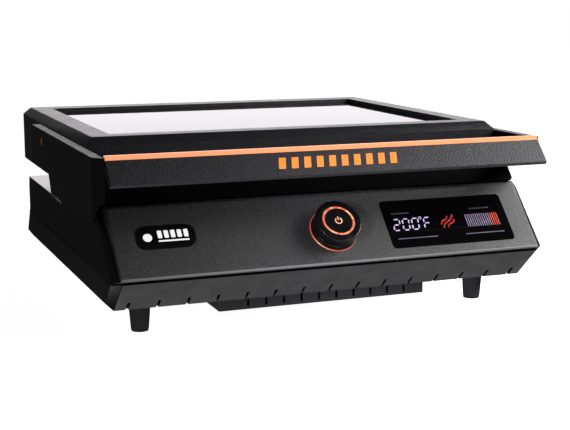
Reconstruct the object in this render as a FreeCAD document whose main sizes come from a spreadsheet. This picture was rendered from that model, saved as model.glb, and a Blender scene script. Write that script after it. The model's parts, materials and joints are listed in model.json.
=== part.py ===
import FreeCAD, Part
import math
import os

import Sketcher

# Table-top electric griddle with a hinged, glass-topped hood.
# X points right, Y points from the control panel to the back, Z points up.
# The origin is on the table, under the middle of the griddle.  Millimetres.

doc = FreeCAD.newDocument("Griddle")
sheet = doc.addObject("Spreadsheet::Sheet", "Dimensions")

DIMENSIONS = {
    # hood
    "hood_half_width": 248.3,
    "hood_front": -146.1,
    "hood_rear": 249.9,
    "hood_bottom": 136.4,
    "hood_top": 204.8,
    "hood_bevel": 9.25,
    "hood_sheet": 2.0,
    "glass_half_width": 215.7,
    "glass_front": -114.8,
    "glass_rear": 209.0,
    "glass_thickness": 4.0,
    "glass_recess": 4.8,
    # side covers and handle bar
    "cover_half_width": 260.0,
    "cover_inner": 249.0,
    "cover_clear": 252.5,
    "cover_top": 194.4,
    "cover_wall": 3.0,
    "bar_half_width": 248.9,
    # base
    "base_half_width": 249.0,
    "base_rear": 262.3,
    "rear_taper": 45.0,
    "rear_draw": 8.0,
    "base_floor": 34.0,
    "skirt_top": 69.5,
    "deck_top": 109.0,
    "shelf_top": 133.5,
    "shelf_rear": -4.0,
    "base_wall": 3.0,
    # slanted control panel
    "panel_half_width": 239.5,
    "panel_top_y": -200.8,
    "panel_top_z": 139.7,
    "panel_bottom_y": -262.3,
    "panel_bottom_z": 74.3,
    "panel_wall": 3.0,
    "dial_drop": 48.5,
    "dial_radius": 25.6,
    "dial_travel": 1.5,
    # apron between the panel and the plate
    "apron_half_width": 240.4,
    "apron_top": 165.0,
    "apron_rear": -150.0,
    # plate and the heater under it
    "plate_half_width": 240.5,
    "plate_front": -139.0,
    "plate_rear": 243.0,
    "plate_underside": 142.0,
    "plate_surface": 150.0,
    "plate_rim": 168.0,
    "pan_half_width": 141.0,
    "element_radius": 4.0,
    "element_pitch": 80.0,
    # hinge
    "hinge_x": 110.0,
    "hinge_y": 252.0,
    "hinge_z": 124.0,
    "pin_radius": 2.5,
    "running_gap": 0.06,
    # grease cup and its bay
    "cup_half_width": 57.0,
    "cup_front": 186.0,
    "cup_bottom": 62.4,
    "cup_top": 99.0,
    "cup_wall": 1.6,
    # vent box, feet
    "vent_half_width": 122.5,
    "vent_front": -210.0,
    "vent_rear": 150.0,
    "vent_bottom": 19.5,
    "slot_width": 3.0,
    "foot_x": 202.5,
    "foot_front_y": -181.0,
    "foot_rear_y": 200.0,
    "foot_top_radius": 12.3,
    "foot_tip_radius": 9.8,
    "foot_pad": 3.0,
}


def fill_sheet():
    for row, (name, amount) in enumerate(DIMENSIONS.items(), start=1):
        sheet.set(f"A{row}", name)
        sheet.set(f"B{row}", str(amount))
        sheet.setAlias(f"B{row}", name)
    doc.recompute()


class Size:
    """A number that remembers the sheet expression it came from."""

    def __init__(self, value, text=None):
        self.value = float(value)
        self.text = text or repr(float(value))
        self.bound = text is not None

    @staticmethod
    def of(thing):
        return thing if isinstance(thing, Size) else Size(thing)

    def join(self, other, sign, value):
        made = Size(value, f"({self.text} {sign} {Size.of(other).text})")
        made.bound = self.bound or Size.of(other).bound
        return made

    def __add__(self, other):
        return self.join(other, "+", self.value + Size.of(other).value)

    def __sub__(self, other):
        return self.join(other, "-", self.value - Size.of(other).value)

    def __mul__(self, other):
        return self.join(other, "*", self.value * Size.of(other).value)

    def __truediv__(self, other):
        return self.join(other, "/", self.value / Size.of(other).value)

    def __neg__(self):
        return Size(0.0) - self

    __radd__ = __add__
    __rmul__ = __mul__

    def __rsub__(self, other):
        return Size.of(other) - self


fill_sheet()
D = {name: Size(amount, f"Dimensions.{name}") for name, amount in DIMENSIONS.items()}


def bind(thing, path, amount):
    """Set a property and tie it to the sheet where its size comes from there."""
    amount = Size.of(amount)
    if "." not in path:
        setattr(thing, path, amount.value)
    if amount.bound or "." in path:
        thing.setExpression(path, amount.text)


def place(thing, x=0, y=0, z=0):
    for path, amount in (("x", x), ("y", y), ("z", z)):
        bind(thing, f"Placement.Base.{path}", amount)
    return thing


# ---------------------------------------------------------------- sketches and features


def new_body(label):
    made = doc.addObject("PartDesign::Body", label)
    made.Label = label
    return made


def sketch(owner, plane, offset=0):
    """A sketch on one of the body's own origin planes: XY, XZ or YZ."""
    made = owner.newObject("Sketcher::SketchObject", owner.Name + "_sketch")
    support = [item for item in owner.Origin.OriginFeatures if item.Role == plane + "_Plane"]
    made.AttachmentSupport = [(support[0], "")]
    made.MapMode = "FlatFace"
    bind(made, "AttachmentOffset.Base.z", offset)
    return made


def flat(u, v):
    return FreeCAD.Vector(Size.of(u).value, Size.of(v).value, 0)


def pin_point(target, geometry, point, u, v):
    for kind, amount in (("DistanceX", Size.of(u)), ("DistanceY", Size.of(v))):
        rule = Sketcher.Constraint(kind, -1, 1, geometry, point, amount.value)
        index = target.addConstraint(rule)
        if amount.bound:
            target.setExpression(f"Constraints[{index}]", amount.text)


def outline(target, corners):
    """A closed outline of straight sides, every corner measured from the origin."""
    first = target.GeometryCount
    count = len(corners)
    for index in range(count):
        start = flat(*corners[index])
        end = flat(*corners[(index + 1) % count])
        target.addGeometry(Part.LineSegment(start, end), False)
    for index in range(count):
        joined = first + (index + 1) % count
        target.addConstraint(Sketcher.Constraint("Coincident", first + index, 2, joined, 1))
        pin_point(target, first + index, 1, *corners[index])
    return target


def rectangle(target, u0, v0, u1, v1):
    return outline(target, [(u0, v0), (u1, v0), (u1, v1), (u0, v1)])


def rounded_rectangle(target, u0, v0, u1, v1, radius):
    """A rectangle whose corners are quarter arcs, drawn anticlockwise from its far corner."""
    u0, v0, u1, v1 = (Size.of(amount) for amount in (u0, v0, u1, v1))
    radius = Size.of(radius)
    left, right = u0 + radius, u1 - radius
    low, high = v0 + radius, v1 - radius
    corners = [
        ((right, high), (u1, high), (right, v1)),
        ((left, high), (left, v1), (u0, high)),
        ((left, low), (u0, low), (left, v0)),
        ((right, low), (right, v0), (u1, low)),
    ]
    arcs = []
    for quarter, (centre, start, end) in enumerate(corners):
        whole = Part.Circle(flat(*centre), FreeCAD.Vector(0, 0, 1), radius.value)
        turn = math.pi / 2
        arc = target.addGeometry(Part.ArcOfCircle(whole, turn * quarter, turn * (quarter + 1)), False)
        pin_point(target, arc, 1, *start)
        pin_point(target, arc, 2, *end)
        target.addConstraint(Sketcher.Constraint("Radius", arc, radius.value))
        arcs.append(arc)
    for quarter in range(4):
        following = (quarter + 1) % 4
        side = Part.LineSegment(flat(*corners[quarter][2]), flat(*corners[following][1]))
        line = target.addGeometry(side, False)
        target.addConstraint(Sketcher.Constraint("Coincident", line, 1, arcs[quarter], 2))
        target.addConstraint(Sketcher.Constraint("Coincident", line, 2, arcs[following], 1))
    return target


def circle(target, u, v, radius):
    radius = Size.of(radius)
    edge = Part.Circle(flat(u, v), FreeCAD.Vector(0, 0, 1), radius.value)
    index = target.addGeometry(edge, False)
    pin_point(target, index, 3, u, v)
    rule = target.addConstraint(Sketcher.Constraint("Radius", index, radius.value))
    if radius.bound:
        target.setExpression(f"Constraints[{rule}]", radius.text)
    return target


def pad(owner, profile, length, symmetric=False, backwards=False):
    """Material along the sketch's normal, or against it where it is backwards."""
    made = owner.newObject("PartDesign::Pad", owner.Name + "_pad")
    made.Profile = profile
    made.SideType = "Symmetric" if symmetric else "One side"
    made.Reversed = backwards
    bind(made, "Length", length)
    return made


def pocket(owner, profile, length, symmetric=False, along=False):
    """A cut against the sketch's normal, or along it.  It has to take material away."""
    doc.recompute()
    before = owner.Shape.Volume
    made = owner.newObject("PartDesign::Pocket", owner.Name + "_pocket")
    made.Profile = profile
    made.SideType = "Symmetric" if symmetric else "One side"
    made.Reversed = along
    bind(made, "Length", length)
    doc.recompute()
    if made.Shape.Volume >= before:
        raise RuntimeError(f"{made.Name} on {owner.Label} takes nothing away")
    return made


def revolve(owner, profile):
    """A full turn of an XZ profile about the body's Z axis."""
    made = owner.newObject("PartDesign::Revolution", owner.Name + "_revolution")
    made.Profile = profile
    made.ReferenceAxis = (profile, ["V_Axis"])
    made.Angle = 360
    return made


def edges_that(shape, test):
    """Names of the edges whose middle and direction pass the test."""
    names = []
    for index, edge in enumerate(shape.Edges, start=1):
        start, end = edge.valueAt(edge.FirstParameter), edge.valueAt(edge.LastParameter)
        run = end - start
        if run.Length > 0.01 and test((start + end) * 0.5, run.normalize()):
            names.append(f"Edge{index}")
    return names


def round_edges(owner, radius, test):
    doc.recompute()
    base = owner.Tip
    made = owner.newObject("PartDesign::Fillet", owner.Name + "_fillet")
    made.Base = (base, edges_that(base.Shape, test))
    bind(made, "Radius", radius)
    return made


def bevel_edges(owner, size, test):
    doc.recompute()
    base = owner.Tip
    made = owner.newObject("PartDesign::Chamfer", owner.Name + "_chamfer")
    made.Base = (base, edges_that(base.Shape, test))
    bind(made, "Size", size)
    return made


def repeat(owner, feature, axis, pitch, count):
    """Copies of a feature along the body's own X or Y axis."""
    support = [item for item in owner.Origin.OriginFeatures if item.Role == axis + "_Axis"]
    made = owner.newObject("PartDesign::LinearPattern", owner.Name + "_pattern")
    made.Originals = [feature]
    made.Direction = (support[0], [""])
    made.Mode = "Extent"
    bind(made, "Length", Size.of(pitch) * (count - 1))
    made.Occurrences = count
    owner.Tip = made
    doc.recompute()
    return made


# ---------------------------------------------------------------- primitives


def box(label, low, high):
    made = doc.addObject("Part::Box", label)
    made.Label = label
    for name, start, end in zip(("Length", "Width", "Height"), low, high):
        bind(made, name, Size.of(end) - Size.of(start))
    return place(made, *low)


AXES = {
    "X": FreeCAD.Rotation(FreeCAD.Vector(0, 1, 0), 90),
    "Y": FreeCAD.Rotation(FreeCAD.Vector(1, 0, 0), -90),
    "Z": FreeCAD.Rotation(),
}


def cylinder(label, start, radius, length, axis="Z"):
    made = doc.addObject("Part::Cylinder", label)
    made.Label = label
    bind(made, "Radius", radius)
    bind(made, "Height", length)
    made.Placement.Rotation = AXES[axis]
    return place(made, *start)


def cone(label, start, radius_start, radius_end, length, axis="Z"):
    made = doc.addObject("Part::Cone", label)
    made.Label = label
    bind(made, "Radius1", radius_start)
    bind(made, "Radius2", radius_end)
    bind(made, "Height", length)
    made.Placement.Rotation = AXES[axis]
    return place(made, *start)


def cut(label, base, *tools):
    made = doc.addObject("Part::Cut", label)
    made.Label = label
    made.Base = base
    made.Tool = tools[0] if len(tools) == 1 else fuse(label + "_tools", *tools)
    return made


def fuse(label, *shapes):
    made = doc.addObject("Part::MultiFuse", label)
    made.Label = label
    made.Shapes = list(shapes)
    return made


def group(label, members):
    """Separate solids that share one name, such as a set of screws."""
    made = doc.addObject("Part::Compound", label)
    made.Label = label
    made.Links = list(members)
    return made


def screw(label, head_start, axis, direction, head_radius, head_length, shank_radius, shank_length):
    """A pan-head screw.  direction is +1 where the shank points along the axis, else -1."""
    x, y, z = head_start
    shift = {"X": (1, 0, 0), "Y": (0, 1, 0), "Z": (0, 0, 1)}[axis]

    def part(name, radius, begin, length):
        low = Size.of(begin) if direction > 0 else -(Size.of(begin) + length)
        start = [Size.of(at) + low * step if step else at for at, step in zip((x, y, z), shift)]
        return cylinder(f"{label}_{name}", start, radius, length, axis)

    head = part("head", head_radius, 0, head_length)
    shank = part("shank", shank_radius, head_length, shank_length)
    return fuse(label, head, shank)


PANEL_RISE = D["panel_top_z"] - D["panel_bottom_z"]
PANEL_RUN = D["panel_top_y"] - D["panel_bottom_y"]
PANEL_LENGTH = Size(
    math.hypot(PANEL_RISE.value, PANEL_RUN.value),
    f"sqrt({PANEL_RISE.text}^2 + {PANEL_RUN.text}^2)",
)
PANEL_LENGTH.bound = True
PANEL_ANGLE = math.degrees(math.atan2(PANEL_RISE.value, PANEL_RUN.value))


def on_panel(thing):
    """Lay a body on the panel: its Z along the panel's normal, its Y up the slope."""
    thing.Placement.Rotation = FreeCAD.Rotation(FreeCAD.Vector(1, 0, 0), PANEL_ANGLE)
    thing.setExpression("Placement.Rotation.Angle", f"atan2({PANEL_RISE.text}; {PANEL_RUN.text})")
    return place(thing, 0, D["panel_top_y"], D["panel_top_z"])


def in_panel(y, z):
    """A point of the side view, as its place up the slope and off the panel's face."""
    back = Size.of(y) - D["panel_top_y"]
    up = Size.of(z) - D["panel_top_z"]
    along = (back * PANEL_RUN + up * PANEL_RISE) / PANEL_LENGTH
    off = (up * PANEL_RUN - back * PANEL_RISE) / PANEL_LENGTH
    return along, off


def behind_panel(x, drop, depth):
    """A point behind the panel's face, as plain coordinates."""
    lean = PANEL_RUN.value / PANEL_LENGTH.value
    steep = PANEL_RISE.value / PANEL_LENGTH.value
    y = D["panel_top_y"].value - drop * lean + depth * steep
    z = D["panel_top_z"].value - drop * steep - depth * lean
    return x, y, z


def panel_block(label, x0, x1, drop0, drop1, low, high, corner=0):
    """A block on the panel, from its drops down the slope and its heights off the face."""
    owner = new_body(label)
    profile = sketch(owner, "XY", low)
    if corner:
        rounded_rectangle(profile, x0, -Size.of(drop1), x1, -Size.of(drop0), corner)
    else:
        rectangle(profile, x0, -Size.of(drop1), x1, -Size.of(drop0))
    pad(owner, profile, Size.of(high) - Size.of(low))
    return on_panel(owner)


def vertical(middle, run):
    return abs(run.z) > 0.99


MIRROR = (-1, 1)
FASCIA_SCREWS_X = (-200, -70, 70, 200)
FASCIA_SCREWS_Y = -248.6
COVER_SCREWS_Y = (-100, 0, 90)
COVER_SCREWS_Z = 172
RETAINER_SCREWS_Y = (-90, 47, 184)
TERMINAL_Y = -66
TERMINAL_LOW = 103


def bracket_screw_places():
    return [D["hinge_x"] * side + offset for side in MIRROR for offset in (-16.5, 16.5)]


def sides(label):
    return ((-1, label + "_left"), (1, label + "_right"))


# ---------------------------------------------------------------- base


def base_housing():
    """One moulded shell: vented skirt, side walls, rear wall, deck and the raised shelf."""
    owner = new_body("base_housing")
    half = D["base_half_width"]
    wall = D["base_wall"]
    rear = D["base_rear"]
    top = D["skirt_top"]

    taper, draw = D["rear_taper"], D["rear_draw"]

    def lower(plane_z, front, front_half, corner_y, corner_half, rear_half, back, drawn):
        """One level of the tapering lower body, its rear corners drawn in."""
        profile = sketch(owner, "XY", plane_z)
        right = [
            (front_half, front),
            (corner_half, corner_y),
            (rear_half, back - taper),
            (rear_half - drawn, back),
        ]
        left = [(-Size.of(u), v) for u, v in reversed(right)]
        return outline(profile, right + left)

    def loft(kind, first, second):
        made = owner.newObject("PartDesign::" + kind, owner.Name + "_loft")
        made.Profile = first
        made.Sections = [second]
        made.Ruled = True
        return made

    skirt_low = lower(D["base_floor"], -221, half - 9, -186.8, half - 7.7, half - 2.8, rear, 1)
    skirt_high = lower(top, -260, half - 9, -250, half, half, rear, draw)
    loft("AdditiveLoft", skirt_low, skirt_high)

    # Raised shelf in front, its slanted face 12.3 behind the panel's outer face.
    front = sketch(owner, "YZ")
    outline(
        front,
        [
            (-249.9, top - 1),
            (-249.9, top),
            (-196.0, 126.9),
            (-196.0, D["shelf_top"]),
            (D["shelf_rear"], D["shelf_top"]),
            (D["shelf_rear"], top - 1),
        ],
    )
    pad(owner, front, half * 2, symmetric=True)

    # Rear deck, with bevelled side edges.
    def deck(plane_y, inset, deck_z, low_z):
        profile = sketch(owner, "XZ", -Size.of(plane_y))
        wide = half - inset
        right = [(wide, low_z), (wide, deck_z - 5), (wide - 7, deck_z)]
        left = [(-u, v) for u, v in reversed(right)]
        return outline(profile, right + left)

    rear_deck = deck(rear, 0, D["deck_top"], top - 1)
    pad(owner, rear_deck, rear - D["shelf_rear"] + 1)
    bevel_edges(owner, 4, lambda at, run: abs(run.x) > 0.99 and at.y > 262 and at.z > 108)
    for side in MIRROR:
        corner = sketch(owner, "XY", D["deck_top"] + 1)
        outline(
            corner,
            [
                (half * side, rear - taper),
                ((half + 1) * side, rear - taper),
                ((half + 1) * side, rear + 1),
                ((half - draw) * side, rear + 1),
                ((half - draw) * side, rear),
            ],
        )
        pocket(owner, corner, D["deck_top"] - top + 2)

    # Hollow inside, open underneath and behind the control panel.
    floor_under = D["base_floor"] - 0.1
    inner_low = lower(floor_under, -217.4, half - 12, -186, half - 10.7, half - 5.8, rear - wall, 1)
    inner_high = lower(top - wall, -254, half - 12, -247, half - wall, half - wall, rear - wall, draw)
    doc.recompute()
    before = owner.Shape.Volume
    loft("SubtractiveLoft", inner_low, inner_high)
    doc.recompute()
    if owner.Shape.Volume >= before:
        raise RuntimeError("the lower body is not hollow")

    hollow = sketch(owner, "YZ")
    shelf_under = D["shelf_top"] - wall
    outline(
        hollow,
        [
            (-243.9, top - wall - 1),
            (-243.9, top + 0.4),
            (-252.0, top + 0.4),
            (-252.0, 76.0),
            (-204.5, 124.0),
            (-193.0, 124.0),
            (-193.0, shelf_under),
            (D["shelf_rear"] - wall, shelf_under),
            (D["shelf_rear"] - wall, top - wall - 1),
        ],
    )
    pocket(owner, hollow, (half - wall) * 2, symmetric=True)

    rear_hollow = deck(rear - wall - taper, wall, D["deck_top"] - wall, top - wall - 1)
    pocket(owner, rear_hollow, rear - D["shelf_rear"] + 1 - taper, along=True)
    corner_hollow = deck(rear - wall, wall + draw, D["deck_top"] - wall, top - wall - 1)
    pocket(owner, corner_hollow, taper + 1, along=True)

    # Vent slots: from the bottom edge of the skirt up its slanted face.
    slot = sketch(owner, "XY", D["base_floor"])
    pitch = Size(32.3)
    start = -pitch * 7
    rectangle(slot, start - D["slot_width"] / 2, -240, start + D["slot_width"] / 2, -200)
    vent = pocket(owner, slot, 10.2, along=True)
    repeat(owner, vent, "X", pitch, 15)

    # Opening for the heat pan in the shelf, and holes through the deck.
    pan = D["pan_half_width"] + 1
    pan_hole = sketch(owner, "XY", D["shelf_top"])
    rectangle(pan_hole, -pan, -123, pan, D["shelf_rear"] + 1)
    pocket(owner, pan_hole, D["shelf_top"] - D["deck_top"] - 0.5)
    spout_hole = sketch(owner, "XY", D["deck_top"])
    circle(spout_hole, 0, 225, 9.4)
    pocket(owner, spout_hole, 6)

    # Grease cup bay and power inlet, both through the rear wall.
    openings = sketch(owner, "XZ", -rear)
    rectangle(openings, -60, 61.8, 60, 102)
    rectangle(openings, 152, 60, 188, 84)
    pocket(owner, openings, 5, along=True)

    # Posts that take the foot and floor screws.
    low = D["base_floor"] + 2
    front_posts = sketch(owner, "XY", low)
    for side in MIRROR:
        circle(front_posts, D["foot_x"] * side, D["foot_front_y"], 6)
        circle(front_posts, 150 * side, -90, 5)
    pad(owner, front_posts, shelf_under - low + 1)
    rear_posts = sketch(owner, "XY", low)
    for side in MIRROR:
        circle(rear_posts, D["foot_x"] * side, D["foot_rear_y"], 6)
        circle(rear_posts, 150 * side, 160, 5)
    pad(owner, rear_posts, D["deck_top"] - wall - low + 1)
    pilot = sketch(owner, "XY", low)
    for side in MIRROR:
        for x, y in ((D["foot_x"], D["foot_front_y"]), (D["foot_x"], D["foot_rear_y"])):
            circle(pilot, x * side, y, 2.0)
        for x, y in ((150, -90), (150, 160)):
            circle(pilot, x * side, y, 1.5)
    pocket(owner, pilot, 20, along=True)

    # Screw holes up through the ledge under the panel.
    ledge = sketch(owner, "XY", top + 1)
    for x in FASCIA_SCREWS_X:
        circle(ledge, x, FASCIA_SCREWS_Y, 1.6)
    pocket(owner, ledge, 6)

    # Screw holes for the hinge brackets in the deck.
    bracket_holes = sketch(owner, "XY", D["deck_top"])
    for x in bracket_screw_places():
        circle(bracket_holes, x, D["hinge_y"] - 1, 1.65)
    pocket(owner, bracket_holes, 4)
    return owner


def bottom_plate():
    """Sheet that closes the base, with an air opening over the vent box."""
    owner = new_body("bottom_plate")
    profile = sketch(owner, "XY", D["base_floor"])
    rear = D["base_rear"] - 3.7
    right = [(236.3, -216.6), (237.6, -185.6), (242.5, rear - D["rear_taper"]), (241.5, rear)]
    left = [(-u, v) for u, v in reversed(right)]
    outline(profile, right + left)
    pad(owner, profile, 2)
    holes = sketch(owner, "XY", D["base_floor"] + 2)
    for side in MIRROR:
        circle(holes, D["foot_x"] * side, D["foot_front_y"], 2.1)
        circle(holes, D["foot_x"] * side, D["foot_rear_y"], 2.1)
        circle(holes, 150 * side, -90, 1.6)
        circle(holes, 150 * side, 160, 1.6)
    pocket(owner, holes, 3)
    air = sketch(owner, "XY", D["base_floor"] + 2)
    rectangle(air, -95, -190, 95, -178)
    grille = pocket(owner, air, 3)
    repeat(owner, grille, "Y", 24, 13)
    return owner


def vent_box():
    """Shallow pan under the base that takes in cooling air through its front slots."""
    owner = new_body("vent_box")
    profile = sketch(owner, "XY", D["vent_bottom"])
    half = D["vent_half_width"]
    rectangle(profile, -half, D["vent_front"], half, D["vent_rear"])
    pad(owner, profile, D["base_floor"] - D["vent_bottom"])
    round_edges(owner, 1.5, vertical)
    inner = sketch(owner, "XY", D["base_floor"])
    rectangle(inner, -half + 2, D["vent_front"] + 2, half - 2, D["vent_rear"] - 2)
    pocket(owner, inner, D["base_floor"] - D["vent_bottom"] - 2)
    pitch = Size(20.8)
    start = -pitch * 4.5 + 4.4
    slot = sketch(owner, "XZ", -D["vent_front"] + 1)
    rectangle(
        slot,
        start - D["slot_width"] / 2,
        D["vent_bottom"] + 3,
        start + D["slot_width"] / 2,
        D["base_floor"] - 1.5,
    )
    vent = pocket(owner, slot, 4)
    repeat(owner, vent, "X", pitch, 10)
    return owner


def foot_places():
    for side in MIRROR:
        for y in (D["foot_front_y"], D["foot_rear_y"]):
            yield D["foot_x"] * side, y


def feet():
    members, pads, screws = [], [], []
    height = D["base_floor"] - D["foot_pad"]
    for number, (x, y) in enumerate(foot_places(), start=1):
        solid = cone(
            f"foot_{number}_solid", (x, y, D["foot_pad"]), D["foot_tip_radius"], D["foot_top_radius"], height
        )
        well = cylinder(f"foot_{number}_well", (x, y, 0), 5, 21)
        bore = cylinder(f"foot_{number}_bore", (x, y, 0), 2.05, 40)
        members.append(cut(f"foot_{number}", solid, well, bore))
        pads.append(
            cone(f"pad_{number}", (x, y, 0), D["foot_tip_radius"] - 0.6, D["foot_tip_radius"], D["foot_pad"])
        )
        screws.append(screw(f"foot_screw_{number}", (x, y, 18), "Z", 1, 4.2, 3, 2.0, 30))
    return [group("feet", members), group("foot_pads", pads), group("foot_screws", screws)]


def casing_screws():
    members = []
    for side in MIRROR:
        for y in (-90, 160):
            start = (150 * side, y, D["base_floor"] - 2)
            members.append(screw(f"floor_screw_{side}_{y}", start, "Z", 1, 3.2, 2, 1.5, 18))
    return group("casing_screws", members)


def control_fascia():
    """Slanted panel with bevelled side edges and short returns, in the panel's own frame."""
    owner = new_body("fascia_panel")
    half = D["base_half_width"]
    wall = D["panel_wall"]
    low = D["skirt_top"] + 2
    section = sketch(owner, "YZ")
    outline(
        section,
        [
            in_panel(-260.2, low),
            in_panel(D["panel_bottom_y"], D["panel_bottom_z"]),
            in_panel(D["panel_top_y"], D["panel_top_z"]),
            in_panel(-196.3, D["panel_top_z"]),
            in_panel(-196.3, 127.0),
            in_panel(-248.5, low),
        ],
    )
    pad(owner, section, half * 2, symmetric=True)
    bevels = sketch(owner, "XZ")
    for side in MIRROR:
        start = (D["panel_half_width"] - 5) * side
        outline(bevels, [(start, 4), ((half + 3) * side, 4), ((half + 3) * side, -10)])
    pocket(owner, bevels, 400, symmetric=True)

    hollow = sketch(owner, "YZ")
    outline(
        hollow,
        [
            in_panel(-258.0, low + wall),
            in_panel(-199.5, D["panel_top_z"] - wall),
            in_panel(-190.0, D["panel_top_z"] - wall),
            in_panel(-190.0, low + wall),
        ],
    )
    pocket(owner, hollow, (D["panel_half_width"] - 1.5) * 2, symmetric=True)

    window = sketch(owner, "XY")
    rounded_rectangle(window, 62.9, -78.1, 216.1, -15.9, 5.1)
    pocket(owner, window, wall + 1)
    badge_seat = sketch(owner, "XY")
    rounded_rectangle(badge_seat, -218.6, -55.9, -153.5, -27.5, 9.1)
    pocket(owner, badge_seat, 0.8)
    shaft_hole = sketch(owner, "XY")
    circle(shaft_hole, 0, -D["dial_drop"], 3.6)
    pocket(owner, shaft_hole, wall + 1)
    panel = on_panel(owner)

    # Tabs on the lower return, each with a hole for its screw from below.
    y = FASCIA_SCREWS_Y
    tabs = [box(f"fascia_tab_{x}", (x - 6, y - 3, low), (x + 6, y + 5, low + wall)) for x in FASCIA_SCREWS_X]
    holes = [cylinder(f"fascia_hole_{x}", (x, y, low - 1), 1.55, wall + 2) for x in FASCIA_SCREWS_X]
    return cut("control_fascia", fuse("fascia_with_tabs", panel, *tabs), *holes)


def fascia_screws():
    members = []
    for x in FASCIA_SCREWS_X:
        start = (x, FASCIA_SCREWS_Y, D["skirt_top"] - 5.1)
        members.append(screw(f"fascia_screw_{x}", start, "Z", 1, 2.4, 2.1, 1.5, 9))
    return group("fascia_screws", members)


def front_apron():
    """Hollow cover between the panel and the plate, slanted like the panel."""
    owner = new_body("front_apron")
    half = D["apron_half_width"]
    top = D["apron_top"]
    rear = D["apron_rear"]
    low = D["shelf_top"] + 0.3
    outer = sketch(owner, "YZ")
    outline(
        outer,
        [
            (-204.5, 142.5),
            (-184.9, top),
            (rear, top),
            (rear, low),
            (-195.7, low),
            (-195.7, 141.0),
            (-203.2, 141.0),
        ],
    )
    pad(owner, outer, half * 2, symmetric=True)
    inner = sketch(owner, "YZ")
    outline(
        inner,
        [
            (-198.5, 144.4),
            (-183.6, top - 2.8),
            (rear - 2.8, top - 2.8),
            (rear - 2.8, low - 2),
            (-193.0, low - 2),
            (-193.0, 144.4),
        ],
    )
    pocket(owner, inner, (half - 2.8) * 2, symmetric=True)
    bevel_edges(owner, 3, lambda at, run: at.y < -203 and abs(run.x) < 0.1 and abs(run.z) > 0.5)
    return owner


# ---------------------------------------------------------------- badge, display, dial


def badge():
    """Raised pill with plain generic shapes on it."""
    plate = panel_block("badge_plate", -218.5, -153.6, 27.6, 55.8, -0.8, 0.6, 9)
    members = [on_panel_disc("badge_disc", -205, 41.6, 4.8, 0.6, 0.9)]
    for index in range(5):
        left = -194 + 7 * index
        members.append(panel_block(f"badge_bar_{index}", left, left + 4.6, 34, 43, 0.6, 0.9, 1))
    members.append(panel_block("badge_line", -194, -161.4, 45.6, 47.4, 0.6, 0.9))
    return [plate, group("badge_inlay", members)]


def on_panel_disc(label, x, drop, radius, low, high):
    owner = new_body(label)
    profile = sketch(owner, "XY", low)
    circle(profile, x, -Size.of(drop), radius)
    pad(owner, profile, Size.of(high) - Size.of(low))
    return on_panel(owner)


def display():
    window = panel_block("display_window", 63.0, 216.0, 16, 78, -2.6, 0, 5)
    module = panel_block("display_module", 70, 209, 21, 73, -9.6, -2.8)
    board = new_body("control_board")
    outer = sketch(board, "XY", -11.4)
    rectangle(outer, -60, -76, 222, -17)
    pad(board, outer, 1.6)
    corners = sketch(board, "XY", -9.8)
    for x in (-54, 216):
        for drop in (22, 71):
            circle(corners, x, -drop, 1.6)
    pocket(board, corners, 3)
    return [window, module, on_panel(board)]


def revolved(label, points):
    """A turned piece about the dial's axis, from radius and height-off-the-panel points."""
    owner = new_body(label)
    profile = sketch(owner, "XZ")
    outline(profile, points)
    revolve(owner, profile)
    thing = on_panel(owner)
    lean = PANEL_RUN / PANEL_LENGTH
    steep = PANEL_RISE / PANEL_LENGTH
    down_y = D["panel_top_y"] - D["dial_drop"] * lean
    down_z = D["panel_top_z"] - D["dial_drop"] * steep
    return place(thing, 0, down_y, down_z)


def dial_fixed():
    """Encoder behind the panel, its nut, and the bezel with the light ring round it."""
    encoder = revolved(
        "rotary_encoder",
        [(3.1, -9.7), (7, -9.7), (7, -3.1), (3.5, -3.1), (3.5, 4.6), (3.1, 4.6)],
    )
    nut = revolved("encoder_nut", [(3.55, 0.05), (6, 0.05), (6, 2.4), (3.55, 2.4)])
    bezel = revolved(
        "dial_bezel",
        [(7, 0.05), (25.9, 0.05), (25.9, 1.6), (24.2, 7.0), (22.4, 7.0), (22.4, 3.0), (7, 3.0)],
    )
    light = revolved("dial_light_ring", [(26.0, 0.05), (27.0, 0.05), (27.0, 1.3), (26.0, 1.3)])
    return [encoder, nut, bezel, light]


def dial_moving():
    """Knob on the encoder's shaft, and the plunger that the shaft presses."""
    radius = D["dial_radius"]
    face = 19.2
    low = 7.0 + D["dial_travel"] + 0.5
    plunger = revolved(
        "encoder_plunger", [(0, -8.1), (1.8, -8.1), (1.8, -7.3), (0, -7.3)]
    )
    shaft = revolved(
        "encoder_shaft",
        [(0, -7.2), (2.8, -7.2), (2.8, -5.0), (3.0, -5.0), (3.0, 15.0), (0, 15.0)],
    )
    cap = revolved(
        "knob_cap",
        [
            (3.05, 6.6),
            (7.5, 6.6),
            (7.5, 14.0),
            (21.5, 14.0),
            (21.5, low),
            (radius - 1.3, low),
            (radius, low + 2.2),
            (radius, face - 0.8),
            (radius - 0.7, face),
            (18.1, face),
            (18.1, face - 1.0),
            (15.6, face - 1.0),
            (15.6, face),
            (4.8, face),
            (4.8, face - 0.8),
            (0, face - 0.8),
            (0, 15.05),
            (3.05, 15.05),
        ],
    )
    ring = revolved(
        "knob_light_ring", [(15.65, face - 0.95), (18.05, face - 0.95), (18.05, face), (15.65, face)]
    )
    icon = revolved(
        "knob_power_icon", [(3.0, face - 0.75), (4.7, face - 0.75), (4.7, face), (3.0, face)]
    )
    return [plunger, shaft, cap, ring, icon]


# ---------------------------------------------------------------- inside the base


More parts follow.
